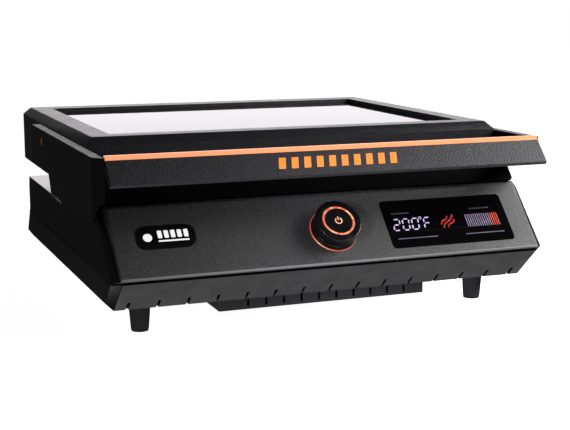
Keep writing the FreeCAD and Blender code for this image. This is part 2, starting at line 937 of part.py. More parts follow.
def electronics():
    board_low = 44.0
    made = [box("power_board", (158, 40, board_low), (236, 170, board_low + 1.6))]
    standoffs = []
    for x in (163, 231):
        for y in (45, 165):
            name = f"standoff_{x}_{y}"
            standoffs.append(cylinder(name, (x, y, D["base_floor"] + 2), 3, board_low - D["base_floor"] - 2))
    made.append(group("board_standoffs", standoffs))
    case = box("relay_case", (176, 120, board_low + 1.6), (206, 150, board_low + 26))
    coil = box("relay_base", (174, 118, board_low + 1.6), (208, 152, board_low + 5))
    made.append(fuse("power_relay", case, coil))

    rear = D["base_rear"] - D["base_wall"]
    flange = box("inlet_flange", (150, rear - 3, 58), (190, rear, 86))
    shell = box("inlet_shell", (155.5, rear - 26, 60.5), (184.5, rear - 3, 83.5))
    socket = box("inlet_socket", (157.5, rear - 22, 62.5), (182.5, rear + 1, 81.5))
    pins, slots = [], []
    for x, z in ((163, 70), (170, 74.5), (177, 70)):
        low, high = (x - 1, rear - 30, z - 2), (x + 1, rear - 6, z + 2)
        pins.append(box(f"inlet_pin_{x}", low, high))
        slots.append(box(f"inlet_slot_{x}", low, high))
    made.append(cut("power_inlet", fuse("inlet_body", flange, shell), socket, *slots))
    made.append(group("inlet_pins", pins))
    return made


def tube(points, radius, bend):
    """A round cable along straight runs joined by tangent arcs."""
    places = [FreeCAD.Vector(*point) for point in points]
    edges = []
    start = places[0]
    for before, corner, after in zip(places, places[1:], places[2:]):
        inward = (before - corner).normalize()
        outward = (after - corner).normalize()
        half_turn = inward.getAngle(outward) / 2
        reach = bend / math.tan(half_turn)
        first = corner + inward * reach
        last = corner + outward * reach
        centre = corner + (inward + outward).normalize() * (bend / math.sin(half_turn))
        middle = centre + (corner - centre).normalize() * bend
        edges.append(Part.LineSegment(start, first).toShape())
        edges.append(Part.Arc(first, middle, last).toShape())
        start = last
    edges.append(Part.LineSegment(start, places[-1]).toShape())
    path = Part.Wire(edges)
    ring = Part.Wire(Part.makeCircle(radius, places[0], places[1] - places[0]))
    return path.makePipeShell([ring], True, False)


def wiring_harness():
    """Mains cores, heater cores and the ribbon to the control board."""
    made = doc.addObject("Part::Feature", "wiring_harness")
    made.Label = "wiring_harness"
    board = 45.7
    heater = TERMINAL_LOW - 0.1
    wires = [
        tube([(163, 229, 70), (163, 158, 70), (163, 158, board)], 1.6, 8),
        tube([(177, 229, 70), (177, 158, 70), (177, 158, board)], 1.6, 8),
        tube(
            [
                (168, 55, board),
                (168, 55, 62),
                (150, 10, 62),
                (120, TERMINAL_Y, 74),
                (120, TERMINAL_Y, heater),
            ],
            1.6,
            8,
        ),
        tube(
            [
                (184, 60, board),
                (184, 60, 84),
                (140, 0, 84),
                (0, -50, 84),
                (-120, TERMINAL_Y, 76),
                (-120, TERMINAL_Y, heater),
            ],
            1.6,
            8,
        ),
        tube(
            [
                (200, 50, board),
                (200, 50, 62),
                (190, -60, 60),
                (150, -190, 60),
                behind_panel(150, 55, 33.5),
                behind_panel(150, 55, 11.5),
            ],
            2.2,
            8,
        ),
    ]
    made.Shape = Part.makeCompound(wires)
    return made


# ---------------------------------------------------------------- plate and heater


def griddle_plate():
    """Cast plate with a raised rim, a rear grease trough and a drain hole."""
    owner = new_body("griddle_plate")
    half = D["plate_half_width"]
    low = D["shelf_top"] + 5
    profile = sketch(owner, "XY", low)
    rectangle(profile, -half, D["plate_front"], half, D["plate_rear"])
    pad(owner, profile, D["plate_rim"] - low)
    round_edges(owner, 14, vertical)
    dish = sketch(owner, "XY", D["plate_rim"])
    rectangle(dish, -half + 6, D["plate_front"] + 6, half - 6, D["plate_rear"] - 6)
    pocket(owner, dish, D["plate_rim"] - D["plate_surface"])
    inside = half.value - 5
    round_edges(
        owner, 9, lambda at, run: vertical(at, run) and at.z > 151 and abs(at.x) < inside and at.y < 238
    )
    under = sketch(owner, "XY", low)
    rectangle(under, -half + 6, D["plate_front"] + 6, half - 6, D["plate_rear"] - 6)
    pocket(owner, under, D["plate_underside"] - low, along=True)
    trough = sketch(owner, "XY", D["plate_surface"])
    rectangle(trough, -half + 16, 216, half - 16, 234)
    pocket(owner, trough, 4)
    drain = sketch(owner, "XY", D["plate_surface"])
    circle(drain, 0, 225, 7)
    pocket(owner, drain, 10)
    return owner


def heating_element():
    """Four straight legs joined by three half turns, pressed to the plate's underside."""
    radius = D["element_radius"]
    pitch = D["element_pitch"]
    level = D["plate_underside"] - radius - 0.1
    near, far = -72, 175
    members = []
    for number in range(4):
        x = pitch * (number - 1.5)
        members.append(cylinder(f"element_leg_{number}", (x, near, level), radius, far - near, "Y"))
    for number, (x, y, turn) in enumerate(((-pitch, far, 0), (Size(0), near, 180), (pitch, far, 0))):
        bend = doc.addObject("Part::Torus", f"element_bend_{number}")
        bind(bend, "Radius1", pitch / 2)
        bind(bend, "Radius2", radius)
        bend.Angle3 = 180
        bend.Placement.Rotation = FreeCAD.Rotation(FreeCAD.Vector(0, 0, 1), turn)
        members.append(place(bend, x, y, level))
    return fuse("heating_element", *members)


def heater_parts():
    pan_half = D["pan_half_width"]
    pan = new_body("heat_reflector")
    low = D["deck_top"] + 0.5
    profile = sketch(pan, "XY", low)
    rectangle(profile, -pan_half, -122, pan_half, 236)
    pad(pan, profile, D["shelf_top"] + 3 - low)
    inner = sketch(pan, "XY", D["shelf_top"] + 3)
    rectangle(inner, -pan_half + 1.2, -120.8, pan_half - 1.2, 234.8)
    pocket(pan, inner, D["shelf_top"] + 3 - low - 1.2)
    holes = sketch(pan, "XY", low + 1.2)
    circle(holes, 0, 225, 9.4)
    for side in MIRROR:
        circle(holes, side * 120, TERMINAL_Y, 5.3)
    pocket(pan, holes, 3)

    underside = D["plate_underside"]
    element_low = underside - D["element_radius"] * 2 - 0.1
    terminals = []
    for side in MIRROR:
        x = 120 * side
        bead = cylinder(f"terminal_bead_{side}", (x, TERMINAL_Y, TERMINAL_LOW), 5, 128 - TERMINAL_LOW)
        stud = cylinder(f"terminal_stud_{side}", (x, TERMINAL_Y, 128), 2.5, element_low - 128)
        terminals.append(fuse(f"terminal_{side}", bead, stud))

    probe_tip = cylinder("probe_tip", (0, 30, 130), 3, underside - 130)
    probe_flange = cylinder("probe_flange", (0, 30, 134), 8, 2)
    cutoff_can = cylinder("cutoff_can", (0, 80, 131), 8.5, underside - 131)
    cutoff_base = box("cutoff_base", (-14, 74, 129), (14, 86, 131))

    supports = []
    for side in MIRROR:
        for y in (-110, 210):
            start = (132 * side, y, low + 1.2)
            supports.append(cylinder(f"pan_post_{side}_{y}", start, 5, underside - low - 1.2))
        start = (225 * side, -115, D["shelf_top"])
        supports.append(cylinder(f"shelf_post_{side}", start, 8, underside - D["shelf_top"]))

    spout = cylinder("spout_tube", (0, 225, 101), 9, underside - 101)
    spout_bore = cylinder("spout_bore", (0, 225, 100), 7, 50)
    return [
        pan,
        group("element_terminals", terminals),
        fuse("temperature_probe", probe_tip, probe_flange),
        fuse("thermal_cutoff", cutoff_can, cutoff_base),
        group("plate_supports", supports),
        cut("drain_spout", spout, spout_bore),
    ]


# ---------------------------------------------------------------- grease cup


def cup_parts():
    """Cup that draws out of the back, and the open cradle that it slides in."""
    half = D["cup_half_width"]
    rear = D["base_rear"]
    low = D["cup_bottom"]
    cradle = new_body("cup_cradle")
    outer = sketch(cradle, "XZ", -(rear - 3.1))
    rectangle(outer, -62, 60, 62, 104)
    pad(cradle, outer, 81)
    room = sketch(cradle, "XZ", -(rear - 3.1))
    rectangle(room, -60, 62, 60, 102)
    pocket(cradle, room, 79, along=True)
    drip = sketch(cradle, "XY", 104)
    circle(drip, 0, 225, 9.4)
    pocket(cradle, drip, 3)

    cup = new_body("grease_cup")
    base = sketch(cup, "XY", low)
    rectangle(base, -half, D["cup_front"], half, rear - 2.6)
    pad(cup, base, D["cup_top"] - low)
    round_edges(cup, 3, lambda at, run: vertical(at, run) and at.y < 190)
    inside = sketch(cup, "XY", D["cup_top"])
    wall = D["cup_wall"]
    rectangle(inside, -half + wall, D["cup_front"] + wall, half - wall, rear - 2.6 - wall)
    pocket(cup, inside, D["cup_top"] - low - wall)
    front = sketch(cup, "XZ", -(rear - 2.6))
    rectangle(front, -59.5, 62.4, 59.5, 101.5)
    pad(cup, front, 2.5, backwards=True)
    grip = sketch(cup, "XZ", -(rear - 0.1))
    rectangle(grip, -22, 70, 22, 84)
    pocket(cup, grip, 1.2, along=True)
    return [cradle, cup]


# ---------------------------------------------------------------- hood


def hood_shell():
    """Pressed hood: bevelled top frame, four walls, open below, with the glass opening."""
    owner = new_body("hood_shell")
    half = D["hood_half_width"]
    front, rear = D["hood_front"], D["hood_rear"]
    low, top = D["hood_bottom"], D["hood_top"]
    profile = sketch(owner, "XY", low)
    rectangle(profile, -half, front, half, rear)
    pad(owner, profile, top - low)
    bevel_edges(owner, D["hood_bevel"], lambda at, run: abs(run.z) < 0.01 and at.z > 204)

    # The inside follows the outside, one sheet thickness in.
    thick = D["hood_sheet"]
    shoulder = top - D["hood_bevel"] - thick * 0.414
    ceiling = top - thick

    def room(level, inset):
        inside = sketch(owner, "XY", level)
        return rectangle(inside, -half + inset, front + inset, half - inset, rear - inset)

    pocket(owner, room(low, thick), shoulder - low, along=True)
    bevel_room = owner.newObject("PartDesign::SubtractiveLoft", "hood_bevel_room")
    bevel_room.Profile = room(shoulder - 0.001, thick)
    bevel_room.Sections = [room(ceiling, D["hood_bevel"] + thick * 0.414)]
    bevel_room.Ruled = True
    glass = sketch(owner, "XY", top)
    rectangle(glass, -D["glass_half_width"], D["glass_front"], D["glass_half_width"], D["glass_rear"])
    pocket(owner, glass, 5)

    cover_holes = sketch(owner, "YZ")
    for y in COVER_SCREWS_Y:
        circle(cover_holes, y, COVER_SCREWS_Z, 1.6)
    pocket(owner, cover_holes, half * 2 + 10, symmetric=True)
    retainer_holes = sketch(owner, "XY", ceiling - 0.01)
    for x in retainer_screw_places():
        for y in RETAINER_SCREWS_Y:
            circle(retainer_holes, x, y, 1.45)
    pocket(owner, retainer_holes, 1.41, along=True)
    return owner


def frame_ring(label, out, inside, low, high):
    """A flat ring round the glass opening: out and inside are margins outside its edge."""
    half = D["glass_half_width"]
    front, rear = D["glass_front"], D["glass_rear"]
    outer = box(
        label + "_outer", (-half - out, front - out, low), (half + out, rear + out, high)
    )
    inner = box(
        label + "_inner",
        (-half - inside, front - inside, low - 1),
        (half + inside, rear + inside, high + 1),
    )
    return cut(label, outer, inner)


def retainer_screw_places():
    return [(D["glass_half_width"] + 15.5) * side for side in MIRROR]


def hood_glazing():
    half = D["glass_half_width"]
    front, rear = D["glass_front"], D["glass_rear"]
    high = D["hood_top"] - D["glass_recess"]
    low = high - D["glass_thickness"]
    under = D["hood_top"] - D["hood_sheet"]
    glass = box("hood_glass", (-half - 6, front - 6, low), (half + 6, rear + 6, high))
    seal = frame_ring("gasket_block", 9, 0.6, low - 1.5, under)
    glass_room = box("gasket_slot", (-half - 6, front - 6, low), (half + 6, rear + 6, high))
    gasket = cut("glass_gasket", seal, glass_room)
    inner_flange = frame_ring("retainer_lip", 12, -2, low - 3, low - 1.5)
    web = frame_ring("retainer_web", 12, 10.5, low - 3, under)
    outer_flange = frame_ring("retainer_flange", 19, 10.5, under - 1.5, under)
    screws, holes = [], []
    for number, x in enumerate(retainer_screw_places()):
        for y in RETAINER_SCREWS_Y:
            name = f"{number}_{y}"
            holes.append(cylinder(f"retainer_hole_{name}", (x, y, under - 2), 1.45, 3))
            screws.append(screw(f"retainer_screw_{name}", (x, y, under - 3.6), "Z", 1, 2.6, 2.0, 1.4, 2.9))
    frame = fuse("retainer_frame", inner_flange, web, outer_flange)
    retainer = cut("glass_retainer", frame, *holes)
    return [glass, gasket, retainer, group("retainer_screws", screws)]


def side_cover(side, label):
    """Moulded cover on the hood's side: top ledge, cut-away rear corner, bevelled front end."""
    owner = new_body(label)
    inner, outer = D["cover_inner"], D["cover_half_width"]
    top = D["cover_top"]
    wall = D["cover_wall"]
    plan = sketch(owner, "XY", 125)
    outline(
        plan,
        [
            (inner * side, 117.5),
            (inner * side, -236.0),
            ((inner + 0.4) * side, -236.0),
            (outer * side, -224.0),
            (outer * side, 117.5),
        ],
    )
    pad(owner, plan, top - 125)

    # Side outline: the rear half stops higher, with a steep step down to the long lower edge.
    step = sketch(owner, "YZ")
    outline(
        step,
        [(-1, 120), (-1, 125), (9.0, 141.0), (11.5, 144.3), (15.5, 145.6), (125, 145.6), (125, 120)],
    )
    pocket(owner, step, outer * 2 + 10, symmetric=True)

    # The right cover reaches the bar as a shallow arm, open below.
    if side > 0:
        arm = sketch(owner, "YZ")
        outline(arm, [(-240, 120), (-240, 168.1), (-140, 153), (-150, 125), (-150, 120)])
        pocket(owner, arm, outer * 2 + 10, symmetric=True)

    # Lower strip stands clear of the base's side wall.
    clear = sketch(owner, "XZ")
    low_room = [(0, 120), (D["cover_clear"] * side, 120), (D["cover_clear"] * side, 137.4), (0, 137.4)]
    outline(clear, low_room)
    pocket(owner, clear, 600, symmetric=True)

    # Rising bevel under the left one's front end.
    if side < 0:
        rise = sketch(owner, "XZ", 205)
        outline(
            rise,
            [
                (-outer, 126.3),
                (-outer + 3.2, 138.6),
                (-outer + 6.2, 145.4),
                (-outer + 9.0, 148.2),
                (-outer + 14.0, 149.6),
                (-outer + 14.0, 120),
                (-outer, 120),
            ],
        )
        pocket(owner, rise, 60, along=True)

    # Hollow behind the outer wall.
    room = sketch(owner, "YZ", (inner - 1) * side)
    front_floor = [(-136, 151), (-138, 156.5), (-222, 169.2)] if side > 0 else [(-222, 151)]
    rear_floor = [(113, top - wall), (113, 149), (8, 149), (0, 151)]
    outline(room, [*front_floor, (-222, top - wall), *rear_floor])
    before = owner.Shape.Volume
    hollow = owner.newObject("PartDesign::Pocket", label + "_hollow")
    hollow.Profile = room
    hollow.Reversed = side > 0
    bind(hollow, "Length", outer - inner - wall + 1)
    doc.recompute()
    if hollow.Shape.Volume >= before:
        raise RuntimeError(label + " is not hollow")

    # Bosses for the screws that come through the hood's wall.
    bosses = sketch(owner, "YZ", inner * side)
    for y in COVER_SCREWS_Y:
        circle(bosses, y, COVER_SCREWS_Z, 4)
    pad(owner, bosses, outer - inner - 1, backwards=side < 0)
    pilots = sketch(owner, "YZ", inner * side)
    for y in COVER_SCREWS_Y:
        circle(pilots, y, COVER_SCREWS_Z, 1.5)
    pocket(owner, pilots, 6.5, along=side > 0)

    seat = sketch(owner, "YZ", outer * side)
    rectangle(seat, 48, 175.5, 54, 184)
    pocket(owner, seat, 0.3, along=side < 0)
    return owner


def handle_parts():
    """Hollow bar across the front, its trim strip and a row of plain slanted marks."""
    half = D["bar_half_width"]
    bar = new_body("handle_bar")
    outer = sketch(bar, "YZ")
    outline(
        outer,
        [
            (-240.12, 192.76),
            (-260.7, 170.3),
            (-258.8, 167.0),
            (-250.0, 166.3),
            (-227.0, 191.0),
            (-227.0, 196.2),
            (-231.6, 196.2),
            (-231.6, 194.5),
            (-235.83, 194.5),
            (-238.62, 191.46),
        ],
    )
    pad(bar, outer, half * 2, symmetric=True)
    inner = sketch(bar, "YZ")
    outline(
        inner,
        [(-238.2, 187.9), (-256.4, 169.6), (-251.3, 169.2), (-229.6, 192.2), (-233.9, 192.4)],
    )
    pocket(bar, inner, half * 2 + 4, symmetric=True)

    trim = new_body("handle_trim")
    strip = sketch(trim, "YZ")
    outline(
        strip,
        [
            (-240.05, 192.84),
            (-237.0, 196.15),
            (-235.7, 196.7),
            (-231.7, 196.7),
            (-231.7, 194.6),
            (-235.87, 194.6),
            (-238.63, 191.6),
        ],
    )
    pad(trim, strip, half * 2, symmetric=True)

    # Marks lie on the bar's face: 10 slanted bars, centred, with their own thin relief.
    lean_y, lean_z = -260.7 + 241.0, 170.3 - 191.8
    angle = math.degrees(math.atan2(-lean_z, -lean_y))
    marks = new_body("handle_inlay")
    profile = sketch(marks, "XY", 0)
    pitch, width, slant = 14.2, 7.6, 3.0
    low_drop, high_drop = 20.0, 6.2
    left = -70.5
    outline(
        profile,
        [
            (left, -low_drop),
            (left + width, -low_drop),
            (left + width + slant, -high_drop),
            (left + slant, -high_drop),
        ],
    )
    mark = pad(marks, profile, 0.35)
    marks.AllowCompound = True
    repeat(marks, mark, "X", pitch, 10)
    marks.Placement.Rotation = FreeCAD.Rotation(FreeCAD.Vector(1, 0, 0), angle)
    place(marks, 0, -241.0, 191.8)
    return [bar, trim, marks]


def hood_fittings():
    emblems, screws, bumpers, arms = [], [], [], []
    wall_in = D["hood_half_width"] - D["hood_sheet"]
    for side in MIRROR:
        outer = D["cover_half_width"] * side
        low_x = outer if side < 0 else outer - 0.28
        emblems.append(box(f"emblem_{side}", (low_x, 48.1, 175.6), (low_x + 0.28, 53.9, 183.9)))
        for y in COVER_SCREWS_Y:
            start = ((wall_in - 2) * side, y, COVER_SCREWS_Z)
            screws.append(screw(f"cover_screw_{side}_{y}", start, "X", side, 3, 2, 1.5, 8))
        x = 195 * side
        wall_front = D["hood_front"] + D["hood_sheet"]
        bumpers.append(
            box(f"bumper_{side}", (x - 8, wall_front, D["shelf_top"] + 0.4), (x + 8, wall_front + 1.7, 146))
        )
        arms.append(hinge_arm(side))
    return [
        group("side_emblems", emblems),
        group("side_cover_screws", screws),
        group("hood_bumpers", bumpers),
        group("hinge_arms", arms),
    ]


# ---------------------------------------------------------------- hinge


def hinge_arm(side):
    """Strap on the hood's rear wall with a knuckle round the pin."""
    x = D["hinge_x"] * side
    y, z = D["hinge_y"], D["hinge_z"]
    strap = box(f"arm_strap_{side}", (x - 7, D["hood_rear"], z), (x + 7, y + 2, 172))
    knuckle = cylinder(f"arm_knuckle_{side}", (x - 7, y, z), 6, 14, "X")
    bore = cylinder(f"arm_bore_{side}", (x - 8, y, z), D["pin_radius"] + D["running_gap"], 16, "X")
    return cut(f"arm_{side}", fuse(f"arm_blank_{side}", strap, knuckle), bore)


def hinge_base():
    """Forked brackets on the deck, their pins and their screws."""
    y, z = D["hinge_y"], D["hinge_z"]
    deck = D["deck_top"]
    brackets, pins, screws = [], [], []
    for side in MIRROR:
        x = D["hinge_x"] * side
        parts = [box(f"bracket_foot_{side}", (x - 22, y - 8, deck), (x + 22, y + 6, deck + 2))]
        for offset in (-11, 8):
            name = f"{side}_{offset}"
            parts.append(box(f"ear_{name}", (x + offset, y - 6, deck), (x + offset + 3, y + 6, z)))
            parts.append(cylinder(f"ear_top_{name}", (x + offset, y, z), 6, 3, "X"))
        holes = [cylinder(f"bracket_bore_{side}", (x - 20, y, z), D["pin_radius"], 40, "X")]
        for offset in (-16.5, 16.5):
            hole = cylinder(f"bracket_hole_{side}_{offset}", (x + offset, y - 1, deck - 1), 1.65, 4)
            holes.append(hole)
        brackets.append(cut(f"bracket_{side}", fuse(f"bracket_blank_{side}", *parts), *holes))
        pins.append(cylinder(f"pin_{side}", (x - 12, y, z), D["pin_radius"], 24, "X"))
    for number, x in enumerate(bracket_screw_places()):
        start = (x, y - 1, deck + 4)
        screws.append(screw(f"bracket_screw_{number}", start, "Z", -1, 3, 2, 1.6, 12))
    return [group("hinge_brackets", brackets), group("hinge_pins", pins), group("bracket_screws", screws)]


# ---------------------------------------------------------------- build and write


def all_nodes():
    nodes = [base_housing(), bottom_plate(), vent_box(), *feet(), casing_screws()]
    nodes += [control_fascia(), fascia_screws(), front_apron(), *badge(), *display()]
    nodes += [*dial_fixed(), *dial_moving(), *electronics(), wiring_harness()]
    nodes += [griddle_plate(), heating_element(), *heater_parts(), *cup_parts()]
    nodes += [hood_shell(), *hood_glazing(), *handle_parts(), *hood_fittings(), *hinge_base()]
    nodes += [side_cover(side, label) for side, label in sides("side_cover")]
    return nodes


def check(nodes):
    for thing in doc.Objects:
        if {"Invalid", "Error"} & set(thing.State):
            raise RuntimeError(f"{thing.Label} failed: {thing.State}")
    for node in nodes:
        if node.Shape.isNull() or not node.Shape.isValid() or not node.Shape.Solids:
            raise RuntimeError(f"{node.Label} has no valid solid")


def write(nodes):
    os.makedirs("parts", exist_ok=True)
    for node in nodes:
        node.Shape.exportStep(f"parts/{node.Label}.step")
        print(f"{node.Label}: {len(node.Shape.Solids)} solids, {node.Shape.Volume / 1000:.2f} cm3")


made_nodes = all_nodes()
doc.recompute()
check(made_nodes)
write(made_nodes)
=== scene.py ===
import json
import math

import bmesh
import bpy
from mathutils import Matrix, Vector


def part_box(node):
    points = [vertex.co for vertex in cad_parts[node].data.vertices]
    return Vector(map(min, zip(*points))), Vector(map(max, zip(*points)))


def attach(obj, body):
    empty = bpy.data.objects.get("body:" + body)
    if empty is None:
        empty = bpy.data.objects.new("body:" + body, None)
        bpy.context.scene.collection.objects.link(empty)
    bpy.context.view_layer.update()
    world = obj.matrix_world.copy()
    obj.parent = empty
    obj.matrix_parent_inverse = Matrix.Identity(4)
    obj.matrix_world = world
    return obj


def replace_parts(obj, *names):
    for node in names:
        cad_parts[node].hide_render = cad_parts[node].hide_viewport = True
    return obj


# Table-top electric griddle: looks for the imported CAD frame.
# Metres, +X right, +Y from the control panel to the back, +Z up.

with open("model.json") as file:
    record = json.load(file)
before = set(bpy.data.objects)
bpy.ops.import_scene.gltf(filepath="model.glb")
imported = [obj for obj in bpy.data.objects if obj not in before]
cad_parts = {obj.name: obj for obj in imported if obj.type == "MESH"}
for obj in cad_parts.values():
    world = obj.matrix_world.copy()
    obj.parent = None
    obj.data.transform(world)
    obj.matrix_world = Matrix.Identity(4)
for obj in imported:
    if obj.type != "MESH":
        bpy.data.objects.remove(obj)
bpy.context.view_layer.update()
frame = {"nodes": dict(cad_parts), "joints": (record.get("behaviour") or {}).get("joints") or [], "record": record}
RECORD = frame["record"]
NODES = frame["nodes"]
BODY_OF = {node: body for body, nodes in RECORD["behaviour"]["bodies"].items() for node in nodes}
SLOT_OF = {row["node"]: row["material_slot"] for row in RECORD["subparts"]}
MM = 0.001
NOISE_ROUGHNESS = 0.55


# ---------------------------------------------------------------- materials


def add_node(tree, kind, values=(), **settings):
    """A node with its settings; a value that is a socket is linked, anything else is stored."""
    made = tree.nodes.new(kind)
    for key, value in settings.items():
        setattr(made, key, value)
    for key, value in dict(values).items():
        if isinstance(value, bpy.types.NodeSocket):
            tree.links.new(value, made.inputs[key])
        else:
            made.inputs[key].default_value = value
    return made


class Finish:
    """One procedural material: helpers that add nodes and link them to the main shader."""

    def __init__(self, name, **constants):
        self.material = bpy.data.materials.new(name)
        self.material.use_nodes = True
        self.tree = self.material.node_tree
        self.shader = self.tree.nodes["Principled BSDF"]
        for socket, value in constants.items():
            self.shader.inputs[socket.replace("_", " ")].default_value = value
        self.place = self.add("ShaderNodeTexCoord").outputs["Object"]

    def add(self, kind, values=(), **settings):
        return add_node(self.tree, kind, values, **settings)

    def feed(self, socket, output):
        self.tree.links.new(output, self.shader.inputs[socket])

    def noise(self, size_mm, detail=3.0, stretch=(1, 1, 1)):
        """Noise whose cells are about size_mm wide, longer along the axes with a small stretch."""
        mapped = self.add("ShaderNodeMapping", {"Vector": self.place, "Scale": stretch})
        values = {
            "Vector": mapped.outputs[0],
            "Scale": 1 / (size_mm * MM),
            "Detail": detail,
            "Roughness": NOISE_ROUGHNESS,
        }
        return self.add("ShaderNodeTexNoise", values).outputs["Fac"]

    def span(self, value, low, high, start=0.3, end=0.7):
        """Map a factor from start..end to low..high."""
        values = {0: value, 1: start, 2: end, 3: low, 4: high}
        return self.add("ShaderNodeMapRange", values).outputs[0]

    def blend(self, factor, first, second):
        """Mix two colours, each given as a tuple or as another node's output."""
        ends = [end if isinstance(end, bpy.types.NodeSocket) else (*end, 1) for end in (first, second)]
        values = {0: factor, 6: ends[0], 7: ends[1]}
        return self.add("ShaderNodeMix", values, data_type="RGBA").outputs[2]

    def calc(self, operation, first, second=0.0):
        return self.add("ShaderNodeMath", {0: first, 1: second}, operation=operation).outputs[0]

    def relief(self, height, depth_mm):
        values = {"Height": height, "Distance": depth_mm * MM, "Strength": 1.0}
        return self.add("ShaderNodeBump", values).outputs["Normal"]

    def edges(self):
        """A factor that is high on worn convex edges, broken up by noise."""
        point = self.add("ShaderNodeNewGeometry").outputs["Pointiness"]
        sharp = self.span(point, 0.0, 1.0, 0.53, 0.60)
        broken = self.span(self.noise(6), 0.0, 1.0, 0.4, 0.65)
        return self.calc("MULTIPLY", sharp, broken)


DUST = (0.5, 0.5, 0.52)
COOKED_SPECK = (0.30, 0.30, 0.31)


def tint(colour, factor):
    return tuple(min(1.0, channel * factor) for channel in colour)


def grained(name, colour, rough, grain_mm, depth_mm, cloud=0.10, wear=0.04, speck=0.08, **constants):
    """Powder coat or textured moulding: fine pebble grain, soft clouding, paler worn edges."""
    finish = Finish(name, **constants)
    cloudy = finish.noise(55, 2)
    pebbles = finish.noise(grain_mm, 2)
    base = finish.blend(finish.span(cloudy, 0, 1), tint(colour, 1 - cloud), tint(colour, 1 + cloud))
    base = finish.blend(finish.span(pebbles, 0, 1), base, tint(colour, 1 + 4 * speck))
    base = finish.blend(finish.calc("MULTIPLY", finish.edges(), wear), base, tint(colour, 2.6))
    finish.feed("Base Color", base)
    smudges = finish.noise(18, 4)
    finish.feed("Roughness", finish.span(smudges, rough * 0.90, min(1, rough * 1.12)))
    fine = finish.noise(grain_mm * 0.37, 1)
    height = finish.calc("ADD", pebbles, finish.calc("MULTIPLY", fine, 0.35))
    finish.feed("Normal", finish.relief(height, depth_mm))
    return finish.material


def glossy(name, colour, rough, dust=0.06, **constants):
    """Polished moulding: faint long waves, a little dust and fine haze in its gloss."""
    finish = Finish(name, **constants)
    dusty = finish.span(finish.noise(1.6, 4), 0, 1, 0.52, 0.78)
    finish.feed("Base Color", finish.blend(finish.calc("MULTIPLY", dusty, dust), colour, DUST))
    finish.feed("Roughness", finish.span(finish.noise(9, 5), rough * 0.7, rough * 1.5))
    finish.feed("Normal", finish.relief(finish.noise(22, 1), 0.010))
    return finish.material


def glossy_painted_glow(name, colour, rough, dust, painted_glow, strength):
    """Glossy paint with a painted glow: an emission stands in for light falling on it, so it stays bright where
    the surface round it is in shade.
    """
    return glossy(
        name, colour, rough, dust=dust, Emission_Color=(*painted_glow, 1), Emission_Strength=strength
    )


def brushed(name, colour, rough, along, grain_mm=0.5, stain=0.12):
    """Brushed or rolled sheet: long fine lines along one axis and broad, faint staining."""
    finish = Finish(name, Metallic=1.0)
    stretch = tuple(0.02 if axis == along else 1.0 for axis in "XYZ")
    lines = finish.noise(grain_mm, 3, stretch)
    stains = finish.span(finish.noise(40, 4), 0, 1)
    base = finish.blend(stains, tint(colour, 1 - stain), tint(colour, 1 + stain / 2))
    finish.feed("Base Color", finish.blend(finish.span(lines, 0, 0.3), base, tint(colour, 0.72)))
    finish.feed("Roughness", finish.span(finish.noise(grain_mm * 2, 2, stretch), rough * 0.8, rough * 1.3))
    finish.feed("Normal", finish.relief(lines, 0.012))
    return finish.material


def lit(name, cool, hot, cell_mm, strength=1.0):
    """Light guide behind a diffuser: brighter spots where its lamps sit."""
    finish = Finish(name, Roughness=0.3, Emission_Strength=strength)
    spots = finish.span(finish.noise(cell_mm, 1), 0, 1, 0.45, 0.66)
    colour = finish.blend(spots, cool, hot)
    finish.feed("Emission Color", colour)
    finish.feed("Base Color", finish.blend(spots, tint(cool, 0.15), tint(hot, 0.2)))
    return finish.material


def smoked_glass(name, colour):
    """Tinted pane with a faint waviness and a film of dust."""
    finish = Finish(name, IOR=1.46, Transmission_Weight=1.0)
    film = finish.span(finish.noise(120, 4), 0, 1)
    finish.feed("Base Color", finish.blend(film, tint(colour, 0.92), tint(colour, 1.06)))
    finish.feed("Roughness", finish.span(finish.noise(30, 5), 0.012, 0.045))
    finish.feed("Normal", finish.relief(finish.noise(160, 1), 0.02))
    return finish.material


def seasoned(name, colour):
    """Cast plate with a non-stick coat: tiny pits and a slight, uneven sheen from cooking."""
    finish = Finish(name, Specular_IOR_Level=0.55)
    patches = finish.span(finish.noise(70, 5), 0, 1)
    specks = finish.span(finish.noise(0.9, 2), 0, 1, 0.62, 0.70)
    base = finish.blend(patches, tint(colour, 0.75), tint(colour, 1.25))
    finish.feed("Base Color", finish.blend(finish.calc("MULTIPLY", specks, 0.35), base, COOKED_SPECK))
    finish.feed("Roughness", finish.span(finish.noise(45, 5), 0.30, 0.48))
    finish.feed("Normal", finish.relief(finish.noise(1.1, 3), 0.05))
    return finish.material


FACING_BLEND = 0.08


def facing(material, axis, start, colour=None, roughness=None, specular=None):
    """Change a coat on the faces that look along an axis, either way."""
    tree = material.node_tree
    shader = tree.nodes["Principled BSDF"]
    normal = tree.nodes.new("ShaderNodeTexCoord").outputs["Normal"]
    split = add_node(tree, "ShaderNodeSeparateXYZ", {0: normal})
    size = add_node(tree, "ShaderNodeMath", {0: split.outputs[axis]}, operation="ABSOLUTE")
    limits = {"Value": size.outputs[0], "From Min": start, "From Max": start + FACING_BLEND}
    factor = add_node(tree, "ShaderNodeMapRange", limits)

    def change(socket, kind, value):
        target = shader.inputs[socket]
        before = target.links[0].from_socket if target.links else target.default_value
        first, second, result = (6, 7, 2) if kind == "RGBA" else (2, 3, 0)
        values = {first: before, second: value, 0: factor.outputs[0]}
        mix = add_node(tree, "ShaderNodeMix", values, data_type=kind)
        tree.links.new(mix.outputs[result], target)

    if colour is not None:
        change("Base Color", "RGBA", (*colour, 1))
    if roughness is not None:
        change("Roughness", "FLOAT", roughness)
    if specular is not None:
        change("Specular IOR Level", "FLOAT", specular)
    return material


